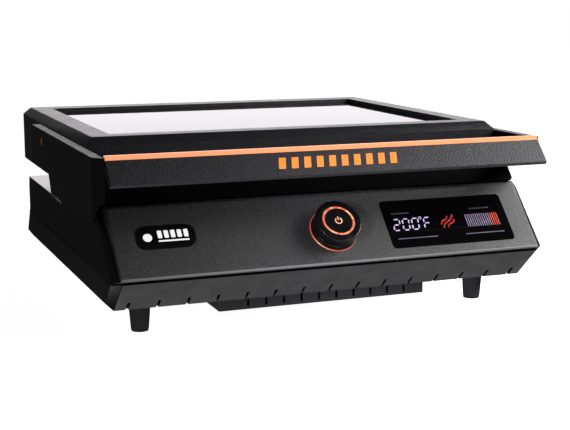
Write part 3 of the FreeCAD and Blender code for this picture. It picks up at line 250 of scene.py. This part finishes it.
def housing_plastic():
    """Casing: smoother on its level faces; painted shade on its sides, which get a darker colour and a weaker
    reflection.
    """
    coat = grained("housing_plastic", (0.0070, 0.0068, 0.0074), 0.50, 1.2, 0.060, Specular_IOR_Level=0.40)
    coat = facing(coat, "Z", 0.9, roughness=0.17)
    # Painted shade: faces that look sideways are made darker and less shiny.
    return facing(coat, "X", 0.5, colour=(0.004, 0.004, 0.004), specular=0.16)


def panel_plastic():
    """Control panel: a painted highlight on the lip along its foot, which is pale and glossier, and painted shade
    on its ends, which are darker and less shiny.
    """
    coat = grained("panel_plastic", (0.026, 0.026, 0.0263), 0.46, 1.6, 0.30, speck=0.55)
    # Painted highlight: the rounded lip, facing forward, gets a pale colour for the light it catches.
    coat = facing(coat, "Y", 0.79, colour=(0.30, 0.30, 0.30), roughness=0.30)
    # Painted shade: the panel's end faces are made darker and less shiny.
    return facing(coat, "X", 0.35, colour=(0.009, 0.009, 0.009), specular=0.14)


# One coat for each material slot: colour, roughness, then grain width and depth in mm or the like.
COATS = {
    "hood_coat": grained(
        "hood_coat", (0.0035, 0.0034, 0.0045), 0.33, 1.9, 0.50, speck=0.80, Specular_IOR_Level=0.46
    ),
    "handle_coat": grained("handle_coat", (0.0070, 0.0068, 0.0084), 0.43, 1.7, 0.58, speck=0.95),
    "cover_plastic": grained(
        "cover_plastic", (0.006, 0.0055, 0.005), 0.42, 0.6, 0.010, Specular_IOR_Level=0.22
    ),
    "housing_plastic": housing_plastic(),
    "panel_plastic": panel_plastic(),
    "foot_plastic": grained("foot_plastic", (0.048, 0.047, 0.050), 0.24, 0.7, 0.018),
    "gloss_black": glossy("gloss_black", (0.004, 0.004, 0.005), 0.20, dust=0.01),
    "display_lens": glossy("display_lens", (0.0015, 0.0015, 0.002), 0.06, dust=0.002),
    # Painted light: the trim and the orange, white and red marks glow by an emission, though none of them is a
    # lamp.
    "orange_trim": glossy_painted_glow("orange_trim", (0.92, 0.20, 0.04), 0.26, 0.02, (1.0, 0.46, 0.27), 0.62),
    "mark_orange": glossy_painted_glow("mark_orange", (0.90, 0.24, 0.04), 0.34, 0.03, (1.0, 0.30, 0.06), 0.52),
    "mark_white": glossy_painted_glow("mark_white", (0.90, 0.90, 0.92), 0.35, 0.10, (1.0, 1.0, 1.0), 0.6),
    "mark_red": glossy_painted_glow("mark_red", (0.62, 0.07, 0.02), 0.35, 0.04, (0.9, 0.10, 0.05), 0.10),
    "light_orange": lit("light_orange", (0.86, 0.13, 0.06), (1.0, 0.60, 0.30), 7.0),
    "tempered_glass": smoked_glass("tempered_glass", (0.40, 0.39, 0.41)),
    "silicone": grained("silicone", (0.010, 0.010, 0.011), 0.62, 0.8, 0.020),
    "foot_rubber": grained("foot_rubber", (0.012, 0.012, 0.013), 0.75, 0.7, 0.040),
    "griddle_coat": seasoned("griddle_coat", (0.040, 0.040, 0.043)),
    "stainless": brushed("stainless", (0.58, 0.58, 0.59), 0.30, "X"),
    "element_sheath": brushed("element_sheath", (0.20, 0.19, 0.18), 0.45, "Y", stain=0.3),
    "zinc_steel": brushed("zinc_steel", (0.62, 0.63, 0.66), 0.28, "Z", stain=0.18),
    "aluminised": brushed("aluminised", (0.55, 0.55, 0.55), 0.42, "X", 0.8, stain=0.16),
    "cup_steel": brushed("cup_steel", (0.50, 0.50, 0.51), 0.30, "X"),
    "ceramic": grained("ceramic", (0.80, 0.78, 0.73), 0.28, 1.2, 0.010, cloud=0.04, wear=0.0, speck=0.02),
    "circuit_board": grained("circuit_board", (0.020, 0.12, 0.05), 0.35, 0.4, 0.010, cloud=0.15),
    "component_black": grained("component_black", (0.022, 0.022, 0.023), 0.5, 0.4, 0.015),
    "component_blue": glossy("component_blue", (0.03, 0.10, 0.34), 0.35),
    "brass": brushed("brass", (0.70, 0.50, 0.22), 0.30, "Z", stain=0.2),
    "cable_sheath": grained("cable_sheath", (0.05, 0.05, 0.055), 0.55, 0.9, 0.020),
}

for node, thing in NODES.items():
    thing.data.materials.clear()
    thing.data.materials.append(COATS[SLOT_OF[node]])


# ---------------------------------------------------------------- mesh helpers

SMOOTH_DEG = 38
LATHE_SMOOTH_DEG = 30
LATHE_STEPS = 144
SHARP_DEG = 24
CROWN_TURN = 0.6
MERGE_WITHIN = 2e-6
FLAT_WITHIN = math.radians(0.4)
AREA_SLACK = 0.03


def finish_piece(name, mesh, body, slot, material=None, smooth_angle=SMOOTH_DEG):
    """Turn a mesh into a piece that rides on a body, shaded smooth except at its sharp edges."""
    mesh.materials.clear()
    mesh.materials.append(material or COATS[slot])
    mesh.polygons.foreach_set("use_smooth", [True] * len(mesh.polygons))
    mesh.set_sharp_from_angle(angle=math.radians(smooth_angle))
    made = bpy.data.objects.new(name, mesh)
    bpy.context.scene.collection.objects.link(made)
    shading = made.modifiers.new("normals", "WEIGHTED_NORMAL")
    shading.keep_sharp = True
    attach(made, body)
    return made


def turn_between(edge):
    return edge.calc_face_angle(0.0) if len(edge.link_faces) == 2 else 0.0


def round_off(mesh_data, radius, segments, wanted, shortest=2.4):
    """Round the sharp edges that are wanted and at least `shortest` radii long."""
    sharp = [edge for edge in mesh_data.edges if turn_between(edge) > math.radians(SHARP_DEG)]
    small = {
        vertex
        for edge in sharp
        if edge.calc_length() < shortest * radius
        for vertex in edge.verts
    }
    chosen = [
        edge
        for edge in sharp
        if not (small & set(edge.verts)) and wanted((edge.verts[0].co + edge.verts[1].co) / 2, edge)
    ]
    bmesh.ops.bevel(
        mesh_data,
        geom=chosen,
        offset=radius,
        offset_type="OFFSET",
        segments=segments,
        profile=0.5,
        affect="EDGES",
        clamp_overlap=False,
        miter_outer="ARC",
    )


def everywhere(middle, edge):
    return True


def flat_area(data):
    """Area of the triangles that a mesh is drawn with."""
    mesh = bpy.data.meshes.new("measured")
    data.to_mesh(mesh)
    mesh.calc_loop_triangles()
    total = sum(triangle.area for triangle in mesh.loop_triangles)
    bpy.data.meshes.remove(mesh)
    return total


def welded(node, dissolved):
    """The CAD node's mesh with its flat faces joined up, whole or triangle by triangle."""
    data = bmesh.new()
    data.from_mesh(NODES[node].data)
    bmesh.ops.remove_doubles(data, verts=data.verts, dist=MERGE_WITHIN)
    if dissolved:
        bmesh.ops.dissolve_limit(data, angle_limit=FLAT_WITHIN, verts=data.verts, edges=data.edges)
    else:
        bmesh.ops.join_triangles(
            data, faces=data.faces, angle_face_threshold=FLAT_WITHIN, angle_shape_threshold=math.pi
        )
    return data


def softened(node, rounds):
    """Mesh with rounded edges; a way that would change the surface's area isn't used."""
    plain = welded(node, False)
    area = flat_area(plain)
    for dissolved, parts in ((True, rounds), (False, rounds), (False, rounds[:1])):
        data = welded(node, dissolved)
        for radius, segments, wanted, *limit in parts:
            round_off(data, radius * MM, segments, wanted, *limit)
        if abs(flat_area(data) / area - 1) < AREA_SLACK:
            plain.free()
            return data
        data.free()
    print("left with sharp edges:", node)
    return plain


def from_cad(node, *rounds, material=None):
    """A piece with the CAD node's shape and softened edges, in place of the node.

    Each round is (radius in mm, segments, which edges) and may add the shortest edge, in radii.
    """
    data = softened(node, rounds)
    bmesh.ops.recalc_face_normals(data, faces=data.faces)
    mesh = bpy.data.meshes.new(node + "_skin")
    data.to_mesh(mesh)
    data.free()
    made = finish_piece(node + "_skin", mesh, BODY_OF[node], SLOT_OF[node], material)
    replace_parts(made, node)


# Panel frame, from the dial's own joint: x across, rise up the slope, off the face.
DIAL_JOINT = next(joint for joint in frame["joints"] if joint["name"] == "dial_turn")
DIAL = Vector(DIAL_JOINT["pos_m"])
OUT = Vector(DIAL_JOINT["axis"]).normalized()
UP = Vector((0, OUT.z, -OUT.y))
ACROSS = Vector((1, 0, 0))
PANEL = Matrix.Translation(DIAL) @ Matrix((ACROSS, UP, OUT)).transposed().to_4x4()


def lathe(name, profile, body, slot, replaced, material=None):
    """Turned piece about the dial's axis, from (radius, height off the panel) points in mm."""
    data = bmesh.new()
    rings = []
    for radius, height in profile:
        if radius < 1e-6:
            rings.append([data.verts.new((0, 0, height * MM))])
            continue
        turn = [2 * math.pi * step / LATHE_STEPS for step in range(LATHE_STEPS)]
        rings.append(
            [
                data.verts.new((radius * MM * math.cos(a), radius * MM * math.sin(a), height * MM))
                for a in turn
            ]
        )
    for first, second in zip(rings, rings[1:]):
        for step in range(LATHE_STEPS):
            after = (step + 1) % LATHE_STEPS
            corners = [first[step % len(first)], first[after % len(first)]]
            corners += [second[after % len(second)], second[step % len(second)]]
            unique = list(dict.fromkeys(corners))
            if len(unique) > 2:
                data.faces.new(unique)
    bmesh.ops.recalc_face_normals(data, faces=data.faces)
    mesh = bpy.data.meshes.new(name)
    data.to_mesh(mesh)
    data.free()
    mesh.transform(PANEL)
    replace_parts(finish_piece(name, mesh, body, slot, material, LATHE_SMOOTH_DEG), replaced)


def soften(profile, radius, steps=4):
    """Round the corners of a profile, between its two end points."""
    points = [Vector(point) for point in profile]
    made = [points[0]]
    for index in range(1, len(points) - 1):
        before, corner, after = points[index - 1 : index + 2]
        reach = min(radius, (before - corner).length * 0.45, (after - corner).length * 0.45)
        start = corner + (before - corner).normalized() * reach
        end = corner + (after - corner).normalized() * reach
        for step in range(steps + 1):
            t = step / steps
            made.append(start * (1 - t) ** 2 + corner * 2 * t * (1 - t) + end * t**2)
    made.append(points[-1])
    return [tuple(point) for point in made]


def prisms(name, outlines, low, high, body, slot, replaced=None, material=None, round_mm=0.0):
    """Flat shapes on the panel: outlines of (x, rise) in mm from the dial, between two heights."""
    data = bmesh.new()
    for outline in outlines:
        floor = [data.verts.new((x * MM, rise * MM, low * MM)) for x, rise in outline]
        top = [data.verts.new((x * MM, rise * MM, high * MM)) for x, rise in outline]
        data.faces.new(floor[::-1])
        data.faces.new(top)
        count = len(outline)
        for index in range(count):
            after = (index + 1) % count
            data.faces.new((floor[index], floor[after], top[after], top[index]))
    bmesh.ops.recalc_face_normals(data, faces=data.faces)
    if round_mm:
        crown = [e for e in data.edges if all(abs(v.co.z - high * MM) < 1e-7 for v in e.verts)]
        bmesh.ops.bevel(
            data,
            geom=[e for e in crown if turn_between(e) > CROWN_TURN],
            offset=round_mm * MM,
            segments=2,
            profile=0.5,
            affect="EDGES",
            clamp_overlap=True,
        )
    mesh = bpy.data.meshes.new(name)
    data.to_mesh(mesh)
    data.free()
    mesh.transform(PANEL)
    made = finish_piece(name, mesh, body, slot, material)
    if replaced:
        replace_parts(made, replaced)


def arc_points(radius, start, end, steps):
    return [
        (
            radius * math.cos(math.radians(start + (end - start) * step / steps)),
            radius * math.sin(math.radians(start + (end - start) * step / steps)),
        )
        for step in range(steps + 1)
    ]


def ribbon(points, width):
    """Outline of a stroke of even width along a line of points."""
    left, right = [], []
    for index, (x, y) in enumerate(points):
        before = points[max(index - 1, 0)]
        after = points[min(index + 1, len(points) - 1)]
        run = Vector((after[0] - before[0], after[1] - before[1])).normalized() * (width / 2)
        left.append((x - run.y, y + run.x))
        right.append((x + run.y, y - run.x))
    return left + right[::-1]


def rounded_box(x0, y0, x1, y1, radius, steps=6):
    outline = []
    for cx, cy, start in (
        (x1 - radius, y1 - radius, 0),
        (x0 + radius, y1 - radius, 90),
        (x0 + radius, y0 + radius, 180),
        (x1 - radius, y0 + radius, 270),
    ):
        outline += [(cx + u, cy + v) for u, v in arc_points(radius, start, start + 90, steps)]
    return outline


# ---------------------------------------------------------------- hood, covers, handle

HOOD_LOW, HOOD_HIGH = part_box("hood_shell")
NEAR = 0.6 * MM
HOOD_BEVEL_DROP = 10 * MM


def upright(middle, edge):
    run = edge.verts[0].co - edge.verts[1].co
    return abs(run.z) > 0.9 * run.length


def hood_outer_corner(middle, edge):
    near_side = abs(abs(middle.x) - HOOD_HIGH.x) < NEAR
    near_end = min(abs(middle.y - HOOD_LOW.y), abs(middle.y - HOOD_HIGH.y)) < NEAR
    return upright(middle, edge) and near_side and near_end


def hood_top_edge(middle, edge):
    return middle.z > HOOD_HIGH.z - HOOD_BEVEL_DROP and not upright(middle, edge)


from_cad("hood_shell", (2.2, 4, hood_outer_corner), (0.9, 3, hood_top_edge))
from_cad("hood_glass", (0.8, 2, everywhere))
from_cad("glass_gasket", (0.3, 2, everywhere))
from_cad("glass_retainer", (0.4, 2, everywhere))
from_cad("side_cover_left", (1.1, 3, everywhere))
from_cad("side_cover_right", (1.1, 3, everywhere))
from_cad("handle_bar", (0.7, 3, everywhere))
from_cad("handle_trim", (0.3, 2, everywhere))
from_cad("handle_inlay", (0.12, 1, everywhere))
from_cad("side_emblems", (0.08, 1, everywhere))
from_cad("hood_bumpers", (0.3, 2, everywhere))
from_cad("hinge_arms", (0.6, 2, everywhere))

# ---------------------------------------------------------------- base

PANEL_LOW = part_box("control_fascia")[0]
LIP_DEPTH = 8 * MM
LIP_HEIGHT = 7 * MM
# The louvres lie in the skirt: in front of this depth, below this height, within this half width.
LOUVRE_DEPTH = -140 * MM
LOUVRE_TOP = 69 * MM
LOUVRE_REACH = 215 * MM
RIM_TOP = 36 * MM
VENT_LOW, VENT_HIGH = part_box("vent_box")
VENT_WALL = 3 * MM


def panel_lip(middle, edge):
    """The long front edge under the slanted panel, and its two bevelled ends."""
    return middle.y < PANEL_LOW.y + LIP_DEPTH and middle.z < PANEL_LOW.z + LIP_HEIGHT


def housing_edge(middle, edge):
    """Edges of the casing, apart from the louvres in the skirt and the open lower rim."""
    louvre = middle.y < LOUVRE_DEPTH and middle.z < LOUVRE_TOP and abs(middle.x) < LOUVRE_REACH
    return not louvre and middle.z > RIM_TOP


def inside_vent(middle):
    """Away from the four walls of the vent box, where its slots are."""
    across = VENT_LOW.x + VENT_WALL < middle.x < VENT_HIGH.x - VENT_WALL
    return across and VENT_LOW.y + VENT_WALL < middle.y < VENT_HIGH.y - VENT_WALL


def vent_edge(middle, edge):
    """The long lower edges of the vent box and its four corners."""
    side = min(middle.x - VENT_LOW.x, VENT_HIGH.x - middle.x) < VENT_WALL
    foot = middle.z < VENT_LOW.z + 1 * MM
    return (side and upright(middle, edge)) or (foot and not inside_vent(middle))


# Painted shade: the apron under the handle bar gets a near-black coat with almost no reflection, for the shadow
# the bar casts.
APRON_PAINTED_SHADE = grained("apron_painted_shade", (0.0014, 0.0013, 0.0015), 0.60, 1.2, 0.040, Specular_IOR_Level=0.03)
# Painted light: the vent box gets a paler copy of the casing's coat, for the light on its face.
VENT_PAINTED_LIGHT = grained("vent_painted_light", (0.045, 0.044, 0.046), 0.50, 1.2, 0.060, Specular_IOR_Level=0.40)
from_cad("base_housing", (1.0, 3, housing_edge))
from_cad("control_fascia", (2.1, 6, panel_lip, 0.5), (0.6, 2, everywhere))
from_cad("front_apron", (0.5, 2, everywhere), material=APRON_PAINTED_SHADE)
from_cad("vent_box", (0.8, 2, vent_edge), material=VENT_PAINTED_LIGHT)
from_cad("bottom_plate", (0.4, 2, everywhere))
from_cad("griddle_plate", (1.4, 3, everywhere))
from_cad("heat_reflector", (0.4, 2, everywhere))
from_cad("grease_cup", (0.6, 2, everywhere))
from_cad("cup_cradle", (0.4, 2, everywhere))
from_cad("hinge_brackets", (0.5, 2, everywhere))
from_cad("power_inlet", (0.5, 2, everywhere))
from_cad("inlet_pins", (0.3, 2, everywhere))

# ---------------------------------------------------------------- dial

# Profiles of (radius, height off the panel) in mm.
BEZEL = [(7, 0.05), (25.9, 0.05), (25.9, 1.6), (24.3, 6.9), (22.4, 6.9), (22.4, 3.0), (7, 3.0), (7, 0.05)]
CAP = [
    (3.05, 6.6),
    (7.5, 6.6),
    (7.5, 14.0),
    (21.5, 14.0),
    (21.5, 9.0),
    (24.4, 9.0),
    (25.6, 11.2),
    (25.6, 18.3),
    (24.8, 19.2),
    (18.1, 19.2),
    (18.1, 18.2),
    (15.6, 18.2),
    (15.6, 19.15),
    (14.9, 18.95),
    (0, 18.7),
]
CAP_RING = [
    (15.9, 18.25),
    (17.85, 18.25),
    (17.85, 18.95),
    (17.4, 19.12),
    (16.35, 19.12),
    (15.9, 18.95),
    (15.9, 18.25),
]
PANEL_RING = [(26.0, 0.05), (26.8, 0.05), (26.8, 0.45), (26.5, 0.75), (26.0, 0.75), (26.0, 0.05)]
# Power symbol on the cap: an open ring and a stroke.
POWER_RING = (3.6, 125, 415, 40)
POWER_STROKE = [(-0.6, 0.6), (0.6, 0.6), (0.6, 4.9), (-0.6, 4.9)]
POWER_WIDTH = 1.25
POWER_LOW, POWER_HIGH = 18.72, 18.95

lathe("dial_bezel_skin", soften(BEZEL, 0.5), "base", "gloss_black", "dial_bezel")
lathe("knob_cap_skin", soften(CAP, 0.7), "dial", "gloss_black", "knob_cap")
lathe("knob_ring_skin", CAP_RING, "dial", "light_orange", "knob_light_ring")


def ring_glow(name):
    """Light ring whose lamps sit low on the left: it fades from there to a dull grey."""
    finish = Finish(name, Roughness=0.3, Emission_Strength=1.0)
    away = finish.add("ShaderNodeVectorMath", {0: finish.place, 1: tuple(DIAL)}, operation="SUBTRACT")
    lamps = tuple(ACROSS * -0.72 - UP * 0.69)
    near = finish.add("ShaderNodeVectorMath", {0: away.outputs[0], 1: lamps}, operation="DOT_PRODUCT")
    lean = near.outputs["Value"]
    fade = finish.span(lean, 0, 1, -4 * MM, 12 * MM)
    warm = finish.blend(fade, (0.10, 0.075, 0.085), (0.52, 0.028, 0.022))
    spots = finish.span(finish.noise(5, 1), 0.0, 0.35, 0.4, 0.7)
    hot = finish.calc("ADD", finish.span(lean, 0, 1, 20 * MM, 28 * MM), spots)
    colour = finish.blend(hot, warm, (0.95, 0.30, 0.14))
    finish.feed("Emission Color", colour)
    finish.feed("Base Color", finish.blend(0.8, colour, (0.02, 0.02, 0.02)))
    return finish.material


lathe("dial_glow_skin", PANEL_RING, "base", "light_orange", "dial_light_ring", ring_glow("ring_glow"))

ICON = lit("icon_light", (1.0, 0.36, 0.20), (1.0, 0.93, 0.78), 2.6, 1.05)
symbol = [ribbon(arc_points(*POWER_RING), POWER_WIDTH), POWER_STROKE]
prisms("power_symbol", symbol, POWER_LOW, POWER_HIGH, "dial", "light_orange", "knob_power_icon", ICON)

# ---------------------------------------------------------------- display and badge

LAVENDER = lit("segment_light", (0.62, 0.48, 0.80), (0.80, 0.64, 0.98), 9)
LEVEL = lit("level_light", (0.25, 0.195, 0.33), (0.35, 0.275, 0.45), 9)
DIM = lit("dim_light", (0.050, 0.038, 0.066), (0.080, 0.062, 0.10), 5)
HEAT = lit("heat_light", (0.30, 0.013, 0.013), (0.62, 0.034, 0.030), 4)
WARM = lit("warm_light", (0.80, 0.060, 0.024), (0.95, 0.11, 0.045), 5)
LINE = lit("line_light", (0.115, 0.088, 0.145), (0.17, 0.13, 0.21), 14)

# In mm. A drop is measured down the slope from the panel's upper edge, and the dial's centre
# lies DIAL_DROP below that edge; an x is measured from the dial, or from the window's left edge.
DIAL_DROP = 48.5
WINDOW_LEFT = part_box("display_window")[0].x / MM
LIT_HEIGHT = 0.03

SEGMENTS = {
    "top": ((0.0, 1.0), (1.0, 1.0)),
    "upper_left": ((0.0, 0.5), (0.0, 1.0)),
    "upper_right": ((1.0, 0.5), (1.0, 1.0)),
    "middle": ((0.0, 0.5), (1.0, 0.5)),
    "lower_left": ((0.0, 0.0), (0.0, 0.5)),
    "lower_right": ((1.0, 0.0), (1.0, 0.5)),
    "bottom": ((0.0, 0.0), (1.0, 0.0)),
}
FIGURES = {
    "2": ("top", "upper_right", "middle", "lower_left", "bottom"),
    "0": ("top", "upper_left", "upper_right", "lower_left", "lower_right", "bottom"),
    "F": ("top", "upper_left", "middle", "lower_left"),
}
READING = "200F"
FIGURE_X = 8.4
FIGURE_PITCH = 11.4
UNIT_SHIFT = 3.4
FIGURE_DROP = 40.9
FIGURE_WIDTH = 7.6
FIGURE_HEIGHT = 14.2
STROKE = 1.5
STROKE_GAP = 1.0
SLANT = 0.14

DEGREE_X = 43.8
DEGREE_DROP = 40.8
DEGREE_ARC = (1.5, 0, 352, 24)
DEGREE_STROKE = 0.7

# Each stroke of the heat symbol: x and drop of its foot, then of its tip.
WAVES = ((67.6, 51.4, 77.6, 40.6), (69.0, 56.2, 84.6, 39.6), (75.2, 55.6, 84.8, 45.8))
WAVE_SWING = 1.2
WAVE_STROKE = 1.75
WAVE_STEPS = 24

LEVEL_X = 99.8
LEVEL_PITCH = 2.66
LEVEL_WIDTH = 1.05
LEVEL_COUNT = 16
LEVEL_HOT = 4
LEVEL_TOP_DROP = 40.7
LEVEL_LOW_DROP = 56.9

RULES = ((72, 121), (156.5, 205.5))
RULE_TOP_DROP = 65.5
RULE_LOW_DROP = 66.6
# Each row of dashes: x of its first dash and how many.
DASH_ROWS = ((74, 7), (172, 8))
DASH_PITCH = 3.2
DASH_WIDTH = 2.0
DASH_TOP_DROP = 32.4
DASH_LOW_DROP = 34.2

WINDOW = rounded_box(63.0, DIAL_DROP - 78, 216.0, DIAL_DROP - 16, 5, 10)
WINDOW_DEPTH = -2.6
BADGE = rounded_box(-216, DIAL_DROP - 55, -154.5, DIAL_DROP - 27, 10, 12)
BADGE_LOW, BADGE_HIGH = -0.8, 0.6


def segment(figure_x, name):
    """One lit bar with pointed ends, of a leaning figure."""
    (u0, v0), (u1, v1) = SEGMENTS[name]
    low = DIAL_DROP - FIGURE_DROP - FIGURE_HEIGHT
    start = Vector((u0 * FIGURE_WIDTH, v0 * FIGURE_HEIGHT))
    end = Vector((u1 * FIGURE_WIDTH, v1 * FIGURE_HEIGHT))
    run = (end - start).normalized()
    side = Vector((-run.y, run.x)) * (STROKE / 2)
    start, end = start + run * STROKE_GAP, end - run * STROKE_GAP
    tip = run * (STROKE / 2)
    shape = [start, start + tip + side, end - tip + side, end, end - tip - side, start + tip - side]
    return [(figure_x + point.x + SLANT * point.y, low + point.y) for point in shape]


def reading():
    """The temperature's figures, as lit bars."""
    bars = []
    for index, figure in enumerate(READING):
        at = WINDOW_LEFT + FIGURE_X + index * FIGURE_PITCH + (UNIT_SHIFT if figure == "F" else 0.0)
        bars += [segment(at, name) for name in FIGURES[figure]]
    return bars


def degree_mark():
    centre_x, centre_rise = WINDOW_LEFT + DEGREE_X, DIAL_DROP - DEGREE_DROP
    circle = [(centre_x + x, centre_rise + y) for x, y in arc_points(*DEGREE_ARC)]
    return [ribbon(circle, DEGREE_STROKE)]


def heat_waves():
    """Three rising wavy strokes."""
    waves = []
    for x0, drop0, x1, drop1 in WAVES:
        run = Vector((x1 - x0, drop0 - drop1))
        side = Vector((-run.y, run.x)).normalized()
        line = []
        for step in range(WAVE_STEPS + 1):
            t = step / WAVE_STEPS
            point = run * t + side * (WAVE_SWING * math.sin(t * 2 * math.pi))
            line.append((WINDOW_LEFT + x0 + point.x, DIAL_DROP - drop0 + point.y))
        waves.append(ribbon(line, WAVE_STROKE))
    return waves


def level_bars(first, last):
    """Upright bars of the level graph, counted from the left."""
    low, high = DIAL_DROP - LEVEL_LOW_DROP, DIAL_DROP - LEVEL_TOP_DROP
    bars = []
    for index in range(first, last):
        at = WINDOW_LEFT + LEVEL_X + index * LEVEL_PITCH
        bars.append([(at, low), (at + LEVEL_WIDTH, low), (at + LEVEL_WIDTH, high), (at, high)])
    return bars


def rules():
    low, high = DIAL_DROP - RULE_LOW_DROP, DIAL_DROP - RULE_TOP_DROP
    return [rounded_box(x0, low, x1, high, 0.5) for x0, x1 in RULES]


def dashes():
    low, high = DIAL_DROP - DASH_LOW_DROP, DIAL_DROP - DASH_TOP_DROP
    places = [start + index * DASH_PITCH for start, count in DASH_ROWS for index in range(count)]
    return [rounded_box(at, low, at + DASH_WIDTH, high, 0.4) for at in places]


prisms(
    "display_window_skin",
    [WINDOW],
    WINDOW_DEPTH,
    0.0,
    "base",
    "display_lens",
    "display_window",
    round_mm=0.35,
)
for name, outlines, light in (
    ("temperature_figures", reading(), LAVENDER),
    ("degree_mark", degree_mark(), LAVENDER),
    ("heat_symbol", heat_waves(), HEAT),
    ("level_bars", level_bars(0, LEVEL_COUNT - LEVEL_HOT), LEVEL),
    ("level_bars_hot", level_bars(LEVEL_COUNT - LEVEL_HOT, LEVEL_COUNT), WARM),
    ("display_rules", rules(), LINE),
    ("display_dashes", dashes(), DIM),
):
    prisms(name, outlines, 0.0, LIT_HEIGHT, "base", "display_lens", material=light)

prisms("badge_plate_skin", [BADGE], BADGE_LOW, BADGE_HIGH, "base", "gloss_black", "badge_plate", round_mm=0.4)
from_cad("badge_inlay", (0.1, 1, everywhere))

# ---------------------------------------------------------------- studio

# Brightness of each part of the room, and of the white backdrop.
BACK_GLOW = 1.42
HIGH_GLOW = 0.85
FLOOR_GLOW = 0.88
ROOM_GLOW = 0.03
SIDE_GLOW = 0.4
SKY_GLOW = 0.12
BACKDROP_WHITE = 1.04
ROOM_TINT = (1.0, 0.965, 0.995, 1)
# Where each edge of a part starts and ends, as a component of the direction looked in.
BACK_FOOT = (-0.02, 0.05)
BACK_HIGH = (0.15, 0.24)
BACK_TOP = (0.52, 0.32)
BACK_DEPTH = (0.15, 0.5)
BACK_LEFT = (-0.02, 0.14)
BACK_RIGHT = (0.72, 0.58)
FLOOR_EDGE = (-0.36, -0.72)
SIDE_EDGE = (-0.42, -0.60)
SIDE_FOOT = (0.06, 0.16)
SIDE_TOP = (0.60, 0.42)
SKY_EDGE = (0.95, 0.99)

FLOOR_REACH = 6.0
PAPER = ((0.93, 0.93, 0.93), (0.95, 0.95, 0.95))
PAPER_GLOW = 0.92

WHITE = (1, 1, 1)
# Name, place, aim, size in metres, watts, colour, spread in degrees.
LIGHTS = (
    ("key", (1.05, -0.55, 0.72), (0.1, -0.2, 0.1), (0.7, 0.5), 18.5, WHITE, 180),
    ("front", (0.80, -1.22, 0.72), (0.1, -0.26, 0.08), (0.40, 0.40), 2.0, WHITE, 180),
    ("left", (-1.10, -1.20, 0.35), DIAL, (0.15, 0.25), 0.07, (0.92, 0.90, 1.0), 8),
)

CAMERA_PLACE = (-0.5194, -1.4233, 0.3538)
CAMERA_HEADING = math.radians(21.285)
CAMERA_PITCH = math.radians(10.179)
LENS_MM = 77.38
SENSOR_MM = 36.0


def dark_room(world):
    """A white backdrop; what reflects in the object is a dark room, bright behind it and below it."""
    world.use_nodes = True
    tree = world.node_tree
    sky = tree.nodes["Background"]

    def node(kind, values, **settings):
        return add_node(tree, kind, values, **settings).outputs[0]

    def ramp(value, start, end, high=1.0):
        values = {0: value, 1: start, 2: end, 3: 0.0, 4: high}
        return node("ShaderNodeMapRange", values, interpolation_type="SMOOTHSTEP")

    def times(first, second):
        return node("ShaderNodeMath", {0: first, 1: second}, operation="MULTIPLY")

    def plus(first, second):
        return node("ShaderNodeMath", {0: first, 1: second}, operation="ADD")

    heading = tree.nodes.new("ShaderNodeTexCoord").outputs["Generated"]
    x, y, z = add_node(tree, "ShaderNodeSeparateXYZ", {0: heading}).outputs
    behind = plus(ramp(z, *BACK_FOOT, BACK_GLOW), ramp(z, *BACK_HIGH, HIGH_GLOW))
    behind = times(behind, ramp(z, *BACK_TOP))
    behind = times(times(behind, ramp(y, *BACK_DEPTH)), ramp(x, *BACK_LEFT))
    behind = times(behind, ramp(x, *BACK_RIGHT))
    below = ramp(z, *FLOOR_EDGE, FLOOR_GLOW)
    beside = times(ramp(x, *SIDE_EDGE, SIDE_GLOW), ramp(z, *SIDE_FOOT))
    beside = times(beside, ramp(z, *SIDE_TOP))
    above = ramp(z, *SKY_EDGE, SKY_GLOW)
    room = plus(plus(plus(behind, below), plus(beside, above)), ROOM_GLOW)
    seen = tree.nodes.new("ShaderNodeLightPath").outputs["Is Camera Ray"]
    level = node("ShaderNodeMix", {0: seen, 2: room, 3: BACKDROP_WHITE})
    tree.links.new(level, sky.inputs["Strength"])
    sky.inputs["Color"].default_value = ROOM_TINT


def placed(name, data):
    made = bpy.data.objects.new(name, data)
    bpy.context.scene.collection.objects.link(made)
    return made


def paper_floor():
    """Pale paper that the object stands on; it takes no part in reflections."""
    mesh = bpy.data.meshes.new("floor")
    corners = [(x * FLOOR_REACH, y * FLOOR_REACH, 0) for x, y in ((-1, -1), (1, -1), (1, 1), (-1, 1))]
    mesh.from_pydata(corners, [], [(0, 1, 2, 3)])
    floor = placed("floor", mesh)
    paper = Finish(
        "floor_paper",
        Roughness=0.9,
        Specular_IOR_Level=0.0,
        Emission_Color=(1, 1, 1, 1),
        Emission_Strength=PAPER_GLOW,
    )
    paper.feed("Base Color", paper.blend(paper.span(paper.noise(400, 2), 0, 1), *PAPER))
    mesh.materials.append(paper.material)
    floor.visible_glossy = False
    floor.visible_diffuse = False


def softbox(name, place, aim, size, power, colour, spread_deg):
    light = bpy.data.lights.new(name, "AREA")
    light.shape = "RECTANGLE"
    light.size, light.size_y = size
    light.energy = power
    light.color = colour
    light.spread = math.radians(spread_deg)
    made = placed(name, light)
    made.location = place
    made.rotation_euler = (Vector(aim) - Vector(place)).to_track_quat("-Z", "Y").to_euler()


def camera():
    lens = bpy.data.cameras.new("camera")
    lens.sensor_width = SENSOR_MM
    lens.lens = LENS_MM
    made = placed("camera", lens)
    made.location = CAMERA_PLACE
    level = math.cos(CAMERA_PITCH)
    ahead = (math.sin(CAMERA_HEADING) * level, math.cos(CAMERA_HEADING) * level, -math.sin(CAMERA_PITCH))
    made.rotation_euler = Vector(ahead).to_track_quat("-Z", "Y").to_euler()
    bpy.context.scene.camera = made


paper_floor()
bpy.context.scene.world = bpy.data.worlds.new("studio")
dark_room(bpy.context.scene.world)
for light in LIGHTS:
    softbox(*light)
camera()
bpy.context.scene.view_settings.view_transform = "Standard"
